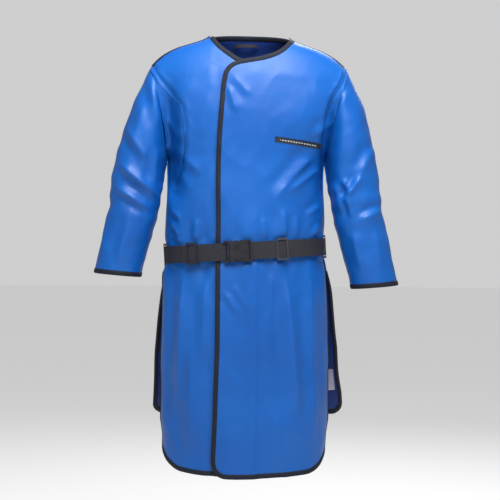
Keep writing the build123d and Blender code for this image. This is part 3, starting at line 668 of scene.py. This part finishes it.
def woven(name, low, high, rib=1500.0, roughness=0.7):
    """Woven tape, webbing or thread: crossing ribs with fuzzy colour."""
    material, tree, shader = new_material(name)
    place = tree.nodes.new("ShaderNodeTexCoord").outputs["Object"]
    both = tree.nodes.new("ShaderNodeMath")
    both.operation = "MULTIPLY"
    for axis, factor in zip("XZ", both.inputs):
        wave = add_node(tree, "ShaderNodeTexWave", place, Scale=rib / RIB_SCALE, Distortion=0.6, Detail=1.0)
        wave.bands_direction = axis
        tree.links.new(wave.outputs["Fac"], factor)
    fuzz = add_node(tree, "ShaderNodeTexNoise", place, Scale=260.0, Detail=3.0)
    tint(tree, shader, fuzz.outputs["Fac"], low, high)
    tree.links.new(bump(tree, both.outputs["Value"], 0.5, 0.0004), shader.inputs["Normal"])
    set_inputs(shader, Roughness=roughness, Specular_IOR_Level=0.3)
    return material


def moulded(name, low, high, roughness=0.42):
    """Moulded plastic: a fine spark-eroded texture and slightly uneven gloss."""
    material, tree, shader = new_material(name)
    place = tree.nodes.new("ShaderNodeTexCoord").outputs["Object"]
    speck = add_node(tree, "ShaderNodeTexNoise", place, Scale=1400.0, Detail=2.0)
    cloudy = add_node(tree, "ShaderNodeTexNoise", place, Scale=60.0, Detail=3.0)
    tint(tree, shader, cloudy.outputs["Fac"], low, high)
    tree.links.new(bump(tree, speck.outputs["Fac"], 0.18, 0.0002), shader.inputs["Normal"])
    vary_roughness(tree, shader, cloudy.outputs["Fac"], roughness - 0.08, roughness + 0.1)
    return material


BLUE = coated_cloth("blue_cover", (0.001, 0.072, 0.32), (0.002, 0.096, 0.39), 0.46, 0.32, 0.06)
LINING = coated_cloth("dark_lining", (0.005, 0.022, 0.13), (0.010, 0.034, 0.19), 0.5, 0.3, 0.04)
BINDING = woven("binding_tape", (0.002, 0.004, 0.010), (0.005, 0.008, 0.019))
WEBBING = woven("webbing", (0.010, 0.010, 0.015), (0.020, 0.020, 0.028), rib=2600.0)
PLASTIC = moulded("buckle_plastic", (0.006, 0.006, 0.009), (0.011, 0.011, 0.016), 0.36)
GREY_PLASTIC = moulded("grey_plastic", (0.022, 0.022, 0.034), (0.036, 0.036, 0.052))
NAME_TAPE = woven("name_tape", (0.010, 0.012, 0.020), (0.022, 0.024, 0.034), rib=3200.0)
LABEL = woven("size_label", (0.40, 0.40, 0.52), (0.52, 0.52, 0.64), rib=3600.0, roughness=0.5)
NAPPED = woven("hook_and_loop", (0.010, 0.011, 0.018), (0.03, 0.03, 0.04), rib=2200.0, roughness=0.95)
# The armhole seam's thread is darker than the cloth: partly the thread's own colour, partly painted shade
# along the seam
SEAM_THREAD_AND_SHADE = woven("seam_thread_and_shade", (0.002, 0.020, 0.13), (0.004, 0.030, 0.18), rib=6000.0, roughness=0.6)
PALE_THREAD = woven("pale_thread", (0.30, 0.36, 0.36), (0.42, 0.48, 0.46), rib=6000.0, roughness=0.6)


# --- Panels ---
# Where the fold lines lie on the front, in metres
FOLD_LINE_Y = -0.118


def fold_blend(obj, fold):
    """Bakes a piece's transform. The ends of its bend over one of the overlap's slanting fold lines are
    worked out but not used, so nothing bends it.
    """
    (x0, z0), (x1, z1) = fold
    run = np.array([x1 - x0, z1 - z0], float)
    run /= np.linalg.norm(run)
    across = np.array([run[1], -run[0]])
    if across[0] < 0:
        across = -across
    middle = np.array([(x0 + x1) / 2, (z0 + z1) / 2])
    start, end = middle + across * FOLD_HALF, middle - across * FOLD_HALF
    start, end = ((x * MM, FOLD_LINE_Y, z * MM) for x, z in (start, end))
    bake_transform(obj)


def layers(*names):
    """The frame's nodes of some panels: each has a cover, a lead core and a lining."""
    return [f"{name}_{layer}" for name in names for layer in ("cover", "lead", "lining")]


# Names of the materials of a panel and of its binding; the loops below pair them with the pieces but don't
# use them
PANEL_SLOTS = ("blue_cover", "binding_tape")
# Each panel's own waviness
LEFT_SEED = 3.0
RIGHT_SEED = 11.0
BACK_SEED = 19.0
BACK_SKIRT_SEED = 27.0
# Columns of points across each panel
LEFT_COLUMNS = 120
RIGHT_COLUMNS = 110
BACK_COLUMNS = 170
BACK_SKIRT_COLUMNS = 150
# The right front's edge prints through the left one as a slight step: its height, place and width, and the
# height from which it grows
PRINT_HEIGHT = 3.0
PRINT_X = 36
PRINT_WIDTH = 12
PRINT_FROM = -300
PRINT_GROWTH = 200


def left_front():
    """The overlapping front in two pieces that meet under the belt."""
    heights = steps(LEFT_NECK_Z, HEM_Z)
    base = front_grid(
        heights, left_inner, LEFT_COLUMNS, lambda x, z: hem_lift(x, z, HEM_FREE_X), forward=OVERLAP
    )
    x, y, z = np.moveaxis(base, 2, 0)
    step = PRINT_HEIGHT * smooth((PRINT_X - x) / PRINT_WIDTH) * smooth((PRINT_FROM - z) / PRINT_GROWTH)
    grid = folded(base, lifted(x, y, z, LEFT_FOLDS, LEFT_SEED) + step + seam_dip(x, z, 1))
    grid[..., 1] += hollow(x, z, 1)
    grid, out = hung(grid)
    rows, cols = grid.shape[:2]
    split, slit = row_at(heights, WAIST_Z), row_at(heights, SLIT_Z)
    upper_run = [(i, 0) for i in range(split + 1)]
    skirt_run = edge_run(rows - split, cols, 0, slit - split)
    for name, child, fold, low, high, run, length in (
        ("left_front_upper", "lapel", LAPEL_FOLD, 0, split + 1, upper_run, 520),
        ("left_front_skirt", "skirt_flap", FLAP_FOLD, split, rows, skirt_run, 560),
    ):
        part, part_out = grid[low:high], out[low:high]
        panel = thick_sheet(name, part, part_out, PANEL, [BLUE, LINING])
        binding = tape(name + "_binding", *edge_frame(part, part_out, run), BINDING)
        for piece, slot in zip((panel, binding), PANEL_SLOTS):
            fold_blend(piece, fold)
    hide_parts(*layers("left_front", "lapel"))
    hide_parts(*layers("skirt_flap"))
    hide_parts("left_front_binding", "lapel_binding")
    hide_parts("skirt_flap_binding")
    return grid, out


# The right front's hem is this much higher than the left one's. From an x, and over a width, it takes the
# relief of the front above it, this far behind it
RIGHT_HEM_UP = 3
COVERED_X = -92
COVERED_WIDTH = 24
UNDER_GAP = 0.5


def right_front():
    """The front beneath. It is shaped on the other side of the body and mirrored."""
    heights = steps(RIGHT_NECK_Z, HEM_Z + RIGHT_HEM_UP)
    base = front_grid(
        heights, lambda z: -right_inner(z), RIGHT_COLUMNS, lambda x, z: hem_lift(x, z, NO_CORNER_X)
    )
    base[..., 0] *= -1
    x, y, z = np.moveaxis(base, 2, 0)
    covered = smooth((x - COVERED_X) / COVERED_WIDTH)
    lift = lifted(x, y, z, RIGHT_FOLDS, RIGHT_SEED) * (1 - covered)
    lift = lift + covered * (lifted(x, y - OVERLAP, z, LEFT_FOLDS, LEFT_SEED) - UNDER_GAP)
    grid = folded(base, lift + seam_dip(x, z, -1))
    grid[..., 1] += hollow(x, z, -1)
    grid, out = hung(grid)
    panel = thick_sheet("right_front", grid, out, PANEL, [BLUE, LINING])
    run = edge_run(*grid.shape[:2], 0, row_at(heights, SLIT_Z))
    binding = tape("right_front_edge", *edge_frame(grid, out, run), BINDING)
    for piece, slot in zip((panel, binding), PANEL_SLOTS):
        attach(piece, "coat")
    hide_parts(*layers("right_front"))
    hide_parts("right_front_binding")
    return grid, out


# The back and the back skirt overlap by twice this under the belt
WAIST_LAP = 4
# The back's neckline falls from its middle to the shoulder seams, and this fades out down the back
BACK_NECK_DROP = 2
BACK_NECK_FALL = 20
BACK_NECK_CURVE = 2.2
BACK_NECK_FADE_Z = -100
BACK_NECK_FADE = 120


def back():
    """The back above the belt."""
    z = np.array(steps(BACK_NECK_Z, WAIST_Z - WAIST_LAP), float)
    t = np.linspace(-1, 1, BACK_COLUMNS)
    angle = outer_angle(z)[:, None] * t[None, :]
    zz = np.repeat(z[:, None], len(t), axis=1)
    fall = BACK_NECK_DROP + BACK_NECK_FALL * np.abs(t) ** BACK_NECK_CURVE
    zz = zz - fall * smooth((zz - BACK_NECK_FADE_Z) / BACK_NECK_FADE)
    x = half_width(zz) * np.sin(angle)
    y = half_depth(zz) * np.cos(angle)
    base = np.stack([x, y, zz], axis=2)
    grid, out = hung(folded(base, lifted(*np.moveaxis(base, 2, 0), BACK_FOLDS, BACK_SEED)))
    panel = thick_sheet("back_panel", grid, out, PANEL, [BLUE, LINING])
    run = [(0, j) for j in range(grid.shape[1])]
    binding = tape("back_neck_edge", *edge_frame(grid, out, run), BINDING)
    for piece, slot in zip((panel, binding), PANEL_SLOTS):
        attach(piece, "coat")
    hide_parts(*layers("back"))
    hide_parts("back_neck_binding")


# The back skirt's half width, the y of its side edges and its depth in the middle, as (height, length)
skirt_reach = curve((-496, 184), (-545, 192), (-600, 204), (-700, 215), (-800, 223), (-870, 227), (-900, 228))
skirt_side_y = curve((-496, 20), (-560, 30), (-900, 44))
skirt_depth = curve((-496, 112), (-524, 113), (-548, 117), (-600, 122), (-900, 126))
# How far its section turns round the body, as a share of a quarter turn, and how square it is
SKIRT_TURN = 0.86
SKIRT_SQUARE = 1.15
# The skirt's top leans with the belt, which reaches this far to each side
BELT_REACH = 190
# The hem's corners and the height over which they take shape
SKIRT_CORNER = 26
SKIRT_CORNER_Z = -780
SKIRT_CORNER_GROWTH = 110
# The height over which the skirt shifts to the side
SKIRT_SHIFT_OVER = 380
# The blank label near the wearer's left edge: its top and foot, its columns in from the edge, its thickness
LABEL_Z = (-785, -838)
LABEL_IN = (22, 8)
LABEL_THICK = 0.5


def back_skirt():
    """The back below the belt: wider, shorter and free at its sides."""
    z = np.array(steps(WAIST_Z + WAIST_LAP, BACK_HEM_Z), float)
    t = np.linspace(-1, 1, BACK_SKIRT_COLUMNS)
    zz = np.repeat(z[:, None], len(t), axis=1)
    across = np.sin(t[None, :] * math.pi / 2 * SKIRT_TURN) / math.sin(math.pi / 2 * SKIRT_TURN)
    level = zz - BELT_REACH * across * BELT_SLOPE
    side_y = skirt_side_y(level)
    x = skirt_reach(level) * across
    y = side_y + (skirt_depth(level) - side_y) * np.cos(np.abs(t[None, :]) ** SKIRT_SQUARE * math.pi / 2)
    corner = np.clip(np.abs(x) - (skirt_reach(zz) - SKIRT_CORNER), 0, SKIRT_CORNER)
    rounding = SKIRT_CORNER - np.sqrt(SKIRT_CORNER**2 - corner**2)
    zz = zz + smooth((SKIRT_CORNER_Z - zz) / SKIRT_CORNER_GROWTH) * rounding
    base = np.stack([x + SKIRT_SHIFT * smooth((WAIST_Z - zz) / SKIRT_SHIFT_OVER), y, zz], axis=2)
    low_folds = [fold for fold in BACK_FOLDS if fold[0][1] < WAIST_Z]
    grid = folded(base, lifted(*np.moveaxis(base, 2, 0), low_folds, BACK_SKIRT_SEED))
    out = outward(grid)
    rows, cols = grid.shape[:2]
    panel = thick_sheet("back_skirt_panel", grid, out, PANEL, [BLUE, LINING])
    slit = row_at(z, SLIT_Z)
    binding = tape("back_skirt_edge", *edge_frame(grid, out, edge_run(rows, cols, slit, slit)), BINDING)
    for piece, slot in zip((panel, binding), PANEL_SLOTS):
        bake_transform(piece)
    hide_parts(*layers("back_skirt"))
    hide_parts("back_skirt_binding")
    top, foot = (row_at(z, height) for height in LABEL_Z)
    cells = slice(top, foot + 1), slice(cols - LABEL_IN[0], cols - LABEL_IN[1])
    patch = (grid - out * (PANEL + LABEL_THICK))[cells]
    label = thick_sheet("back_size_label", patch, -out[cells], -LABEL_THICK, [LABEL, LABEL])
    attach(label, "back_skirt")
    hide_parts("size_label")


# --- Sleeves ---
# The sleeve's inner and outer edge, its centre's y and its half depth, from the armhole to the cuff
SLEEVE = [
    (ARM_PIT, ARM_TOP, 0, 76), ((187, -300), (270, -150), -2, 72), ((190, -318), (297, -240), -4, 69),
    ((194, -350), (315, -330), -6, 66), ((204, -404), (322, -396), -8, 63),
    ((219, -464), (335, -464), -10, 60), ((233, -515), (346, -512), -11, 58),
    ((245, -562), (355, -552), -12, 56),
]
SLEEVE_FOLDS = {
    1: [
        ((236, -108), (188, -205), 11, 4.0), ((272, -318), (226, -392), 9, 6.5),
        ((226, -330), (246, -372), 8, 5.0), ((238, -372), (250, -425), 8, 4.5),
        ((300, -250), (262, -330), 12, 4.5), ((206, -330), (230, -420), 9, 3.8),
        ((322, -400), (262, -430), 9, 4.6), ((300, -440), (318, -545), 12, 3.6),
        ((250, -450), (272, -550), 11, 3.6),
    ],
    -1: [
        ((-300, -290), (-192, -386), 12, 8.0), ((-312, -345), (-212, -412), 9, 5.0),
        ((-232, -90), (-200, -226), 12, 5.0), ((-285, -210), (-222, -300), 12, 4.6),
        ((-206, -250), (-214, -360), 9, 3.4), ((-262, -410), (-296, -545), 14, 4.4),
        ((-320, -400), (-338, -540), 11, 3.0), ((-240, -150), (-262, -270), 13, 3.2),
    ],
}
SLEEVE_RINGS = 96
SLEEVE_AROUND = 88
# The wearer's left sleeve hangs this much further down the arm than the right one, most of it past the elbow
LEFT_EXTRA = 26
ARM_WAY = (0.239, -0.971)
EXTRA_FROM = 0.3
EXTRA_OVER = 0.7
# Shares of the sleeve's length: where it has left the armhole's line, and where its relief starts and ends
SLEEVE_FREE = 0.16
RELIEF_START = 0.08
RELIEF_END = (1.02, 0.10)
# The folds drawn in the front view fade out round the sleeve over this distance
FRONT_REACH = 12
FRONT_FADE = 40
# Weights of the other sleeve's folds on the rear, and of the sharp creases
REAR_FOLDS = 0.8
SLEEVE_CREASE = 0.8
SLEEVE_WAVE = 2.0
SLEEVE_WAVE_SIZE = 75
# Rings of bunched cloth at the elbow: their height, place, spread and closeness
BUNCH = 1.3
ELBOW = 0.52
ELBOW_SPREAD = 0.13
BUNCH_RATE = 62


def sleeve_form(side):
    """Rings of points from the armhole to the cuff, and their places. The first ones follow the armhole."""
    stations = np.linspace(0, 1, len(SLEEVE))
    v = np.linspace(0, 1, SLEEVE_RINGS)
    columns = np.array([[*inner, *outer, y, depth] for inner, outer, y, depth in SLEEVE], float)
    if side > 0:
        further = LEFT_EXTRA * smooth((stations - EXTRA_FROM) / EXTRA_OVER)
        for column, share in enumerate(ARM_WAY * 2):
            columns[:, column] += share * further
    ix, iz, ox, oz, cy, depth = (curve(*zip(stations, column))(v)[:, None] for column in columns.T)
    angle = np.linspace(0, 2 * math.pi, SLEEVE_AROUND, endpoint=False)[None, :]
    along = (1 + np.cos(angle)) / 2
    x, z = ix + (ox - ix) * along, iz + (oz - iz) * along
    y = cy - depth * np.sin(angle)
    seam_z = ARM_PIT[1] + (ARM_TOP[1] - ARM_PIT[1]) * along
    seam_x = arm_x(seam_z)
    seam_y = -np.sign(np.sin(angle)) * half_depth(seam_z) * np.sqrt(
        np.maximum(1 - (seam_x / np.maximum(half_width(seam_z), seam_x)) ** 2, 0)
    )
    w = smooth(v / SLEEVE_FREE)[:, None]
    x, y, z = seam_x * (1 - w) + x * w, seam_y * (1 - w) + y * w, seam_z * (1 - w) + z * w
    return np.stack([side * x, y, z], axis=2), v[:, None], angle


def sleeve(side):
    name = f"{side_name(side)}_sleeve"
    base, v, angle = sleeve_form(side)
    x, y, z = np.moveaxis(base, 2, 0)
    centre = base.mean(axis=1, keepdims=True)
    front = smooth((centre[..., 1] + FRONT_REACH - y) / FRONT_FADE)
    lift = FOLD_STRENGTH * sum(ridge(x, z, *fold) for fold in SLEEVE_FOLDS[side]) * front
    rear = sum(ridge(-x, z, *fold) for fold in SLEEVE_FOLDS[-side]) * (1 - front)
    lift = lift + REAR_FOLDS * rear + SLEEVE_WAVE * wavy(x, y, z, SLEEVE_WAVE_SIZE, side * 5.0)
    # the rings at the elbow lean towards the armpit
    elbow = np.exp(-(((v - ELBOW) / ELBOW_SPREAD) ** 2))
    lift = lift + elbow * BUNCH * np.sin(v * BUNCH_RATE + 1.4 * np.sin(angle + 0.6))
    lift = lift + SLEEVE_CREASE * CREASE * creased(x, y, z, side * 9.0, 60, 80)
    lift = lift * smooth(v / RELIEF_START) * smooth((RELIEF_END[0] - v) / RELIEF_END[1])
    grid = base + tube_normals(base, centre) * lift[..., None]
    grid[..., 1] += hollow(x, z, side) * front
    grid = askew(grid)
    out = tube_normals(grid, askew(centre))
    cloth = thick_sheet(name + "_cloth", grid, out, PANEL, [BLUE, LINING], wrap=True)
    recalculate(cloth)
    # the cuff's tape is a closed band
    cuff = tape(name + "_cuff_edge", grid[-1], unit(grid[-4] - grid[-1]), out[-1], BINDING, closed=True)
    for piece, slot in zip((cloth, cuff), PANEL_SLOTS):
        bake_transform(piece)
    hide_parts(*layers(name))
    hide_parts(f"{name}_cuff_binding")


# --- Trims on the panels ---
# Keeps the nearest point's weight finite, in square millimetres
SOFTEN = 0.5


def on_panel(flat, normal, x, z, count):
    """The point of a panel at (x, z) in the front view and its normal, from its nearest `count` points."""
    gap = (flat[:, 0] - x) ** 2 + (flat[:, 2] - z) ** 2
    near = np.argpartition(gap, count)[:count]
    weight = 1 / (gap[near] + SOFTEN)
    weight /= weight.sum()
    return (x, (flat[near, 1] * weight).sum(), z), (normal[near] * weight[:, None]).sum(0)


def patch_on(name, grid, out, centre, size, slope, lift, material, rows=8, cols=40, thick=0.6):
    """A rectangular tape lying on a panel, at (x, z) in the front view."""
    flat, normal = grid.reshape(-1, 3), out.reshape(-1, 3)
    s, c = math.sin(slope), math.cos(slope)
    points, offs = np.zeros((rows, cols, 3)), np.zeros((rows, cols, 3))
    for i in range(rows):
        for j in range(cols):
            u = (j / (cols - 1) - 0.5) * size[0]
            w = (0.5 - i / (rows - 1)) * size[1]
            x, z = centre[0] + u * c - w * s, centre[1] + u * s + w * c
            points[i, j], offs[i, j] = on_panel(flat, normal, x, z, 6)
    offs = unit(offs)
    return thick_sheet(name, points + offs * (lift + thick), offs, thick, [material, material])


# A shoulder tape: its ends as shares of the shoulder, its height at the neck, its fall to the shoulder tip,
# the y of its edges, its thickness, and how far its face stands off the panels
SHOULDER_ENDS = (0.02, 0.97)
SHOULDER_TOP = 2
SHOULDER_FALL = 74
SHOULDER_CURVE = 1.25
SHOULDER_Y = (-6, -28)
SHOULDER_THICK = 1.2
SHOULDER_LIFT = 1.3


def shoulder_tape(side):
    """Flat tape in front of a shoulder seam, from the neck to the shoulder tip."""
    along = np.linspace(*SHOULDER_ENDS, 60)
    z = SHOULDER_TOP - SHOULDER_FALL * along**SHOULDER_CURVE
    lines = []
    for y in np.linspace(*SHOULDER_Y, 9):
        x = side * half_width(z) * np.sqrt(1 - np.clip(abs(y) / half_depth(z), 0, 1) ** 2)
        lines.append(np.stack([x, np.full_like(z, y), z], axis=1))
    grid = askew(np.stack(lines, axis=1))
    out = normals(grid)
    if out[..., 2].sum() < 0:
        out = -out
    name = f"shoulder_seam_tape_{side_name(side)}"
    obj = thick_sheet(name, grid + out * SHOULDER_LIFT, out, SHOULDER_THICK, [BINDING, BINDING])
    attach(obj, "coat")
    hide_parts(f"shoulder_tape_{side_name(side)}")


# The armhole seam's thread, which is also painted shade along the seam: half its width, its thickness, how
# far its edges stand off the cloth, how much more its middle does, and how far short of the seam's two ends
# it stops
THREAD_HALF = 0.65
THREAD_THICK = 0.8
THREAD_LIFT = 0.35
THREAD_CROWN = 0.3
THREAD_SHORT = (4, 2)


def seam_line(side, grid, out):
    """The stitches of an armhole seam, sunk in its valley; their dark thread also paints the shade along the
    seam.
    """
    points = ARM_SEAM[side]
    along = np.concatenate([[0], np.cumsum([math.dist(a, b) for a, b in zip(points, points[1:])])])
    at = np.linspace(THREAD_SHORT[0], along[-1] - THREAD_SHORT[1], 150)
    x, z = (curve(*zip(along, places))(at) for places in zip(*points))
    flat, normal = grid.reshape(-1, 3), out.reshape(-1, 3)
    path, off = (np.array(part) for part in zip(*(on_panel(flat, normal, *place, 5) for place in zip(x, z))))
    off = unit(off)
    across = unit(np.cross(off, np.gradient(path, axis=0)))
    half = across * THREAD_HALF
    lines = [path + half * w + off * (THREAD_LIFT + THREAD_CROWN * (1 - abs(w))) for w in (-1, 0, 1)]
    ribbon, outs = np.stack(lines, axis=1), np.stack([off] * len(lines), axis=1)
    obj = thick_sheet(f"armhole_seam_and_shade_{side_name(side)}", ribbon, outs, THREAD_THICK, [SEAM_THREAD_AND_SHADE] * 2)
    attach(obj, "coat")


# The name tape: its middle, size and slope, its row of stitches, and the length of one stitch
NAME_MIDDLE = (121, -251)
NAME_SIZE = (108, 12.5)
NAME_SLOPE = math.radians(-6.5)
NAME_ROW = (84, 2.6)
NAME_STITCH = 2.1
# Hook tape lies behind the left front, this far behind its lining, and loop tape on the right front
HOOK_BEHIND = 1.3
NAPPED_THICK = 0.9


def name_tape(grid, out):
    """A blank tape with a row of plain pale stitches where a wearer's name would be sewn."""
    name = patch_on("chest_name_tape", grid, out, NAME_MIDDLE, NAME_SIZE, NAME_SLOPE, 0.1, NAME_TAPE)
    stitches = patch_on(
        "chest_name_stitches", grid, out, NAME_MIDDLE, NAME_ROW, NAME_SLOPE, 0.75, NAME_TAPE,
        rows=3, cols=85, thick=0.25,
    )
    stitches.data.materials.append(PALE_THREAD)
    for face in stitches.data.polygons:
        if int(face.center.x / MM / NAME_STITCH) % 3 and face.normal.y < -0.5:
            face.material_index = 2
    for piece in (name, stitches):
        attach(piece, "coat")
    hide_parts("name_tape")


def trims(left, right):
    """The pieces sewn to the left and right front, each of which is its grid and its normals."""
    grid, out = left
    seam_line(1, *left)
    seam_line(-1, *right)
    name_tape(*left)
    behind = grid - out * (PANEL + HOOK_BEHIND), out
    for kind, level, body, panel, lift, centre, size in (
        ("hook", "upper", "lapel", behind, 0, (-32, -218), (24, 200)),
        ("hook", "lower", "skirt_flap", behind, 0, (-40, -830), (24, 250)),
        ("loop", "upper", "coat", right, 0.1, (-30, -218), (30, 212)),
        ("loop", "lower", "coat", right, 0.1, (-38, -830), (30, 264)),
    ):
        name = f"{kind}_tape_{level}"
        strip = patch_on(name, *panel, centre, size, 0, lift, NAPPED, rows=40, cols=6, thick=NAPPED_THICK)
        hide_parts(f"{kind}_strip_{level}")
        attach(strip, body)


# --- Carried-over CAD pieces ---
def paint_frame():
    """Webbing for the belt and its loops, plastic for the buckle and the adjusters."""
    paints = {"buckle": PLASTIC, "adjuster_right": PLASTIC, "adjuster_left": GREY_PLASTIC}
    for name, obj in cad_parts.items():
        paint = WEBBING
        for part, material in paints.items():
            if part in name:
                paint = material
        obj.data.materials.clear()
        obj.data.materials.append(paint)


# --- Studio ---
# Strength of the room's light on the coat, and of the room as seen
ROOM_LIGHT = 0.26
ROOM_SEEN = 0.62
FLOOR_Z = -1.45
FLOOR_HALF = 30.0
# Each lamp's place, size and power; all point at the middle of the coat
LAMPS = {
    "key": ((0.15, -1.2, 1.1), 1.2, 72),
    "fill": ((-1.6, -2.4, 0.5), 1.1, 7),
    "top": ((0.1, -0.3, 1.6), 1.0, 12),
    "rear": ((0.6, 2.4, 1.2), 1.6, 46),
}
LAMP_AIM = (0, 0, -0.45)


def studio():
    """A pale floor, a nearly white room and soft lamps."""
    scene = bpy.context.scene
    world = bpy.data.worlds.new("studio")
    scene.world = world
    world.use_nodes = True
    tree = world.node_tree
    background = set_inputs(tree.nodes["Background"], Color=(1, 1, 1, 1))
    # the room lights the coat more softly than it looks
    path = tree.nodes.new("ShaderNodeLightPath")
    strength = add_node(tree, "ShaderNodeMapRange", To_Min=ROOM_LIGHT, To_Max=ROOM_SEEN)
    tree.links.new(path.outputs["Is Camera Ray"], strength.inputs["Value"])
    tree.links.new(strength.outputs["Result"], background.inputs["Strength"])
    scene.view_settings.view_transform = "Standard"
    corners = [(x * FLOOR_HALF, y * FLOOR_HALF, FLOOR_Z) for x, y in ((-1, -1), (1, -1), (1, 1), (-1, 1))]
    paper, _, shader = new_material("floor")
    set_inputs(
        shader, Base_Color=(0.60, 0.60, 0.61, 1), Emission_Color=(1, 1, 1, 1), Emission_Strength=0.42,
        Roughness=0.9, Specular_IOR_Level=0.1,
    )
    floor = mesh_object("floor", np.array(corners) / MM, [(0, 1, 2, 3)], [paper])
    for name, (place, size, power) in LAMPS.items():
        data = bpy.data.lights.new(name, "AREA")
        data.energy, data.size = power, size
        lamp = bpy.data.objects.new(name, data)
        scene.collection.objects.link(lamp)
        lamp.location = place
        lamp.rotation_euler = (Vector(LAMP_AIM) - lamp.location).to_track_quat("-Z", "Y").to_euler()


paint_frame()
left = left_front()
right = right_front()
back()
back_skirt()
for side in (1, -1):
    sleeve(side)
    shoulder_tape(side)
trims(left, right)
studio()
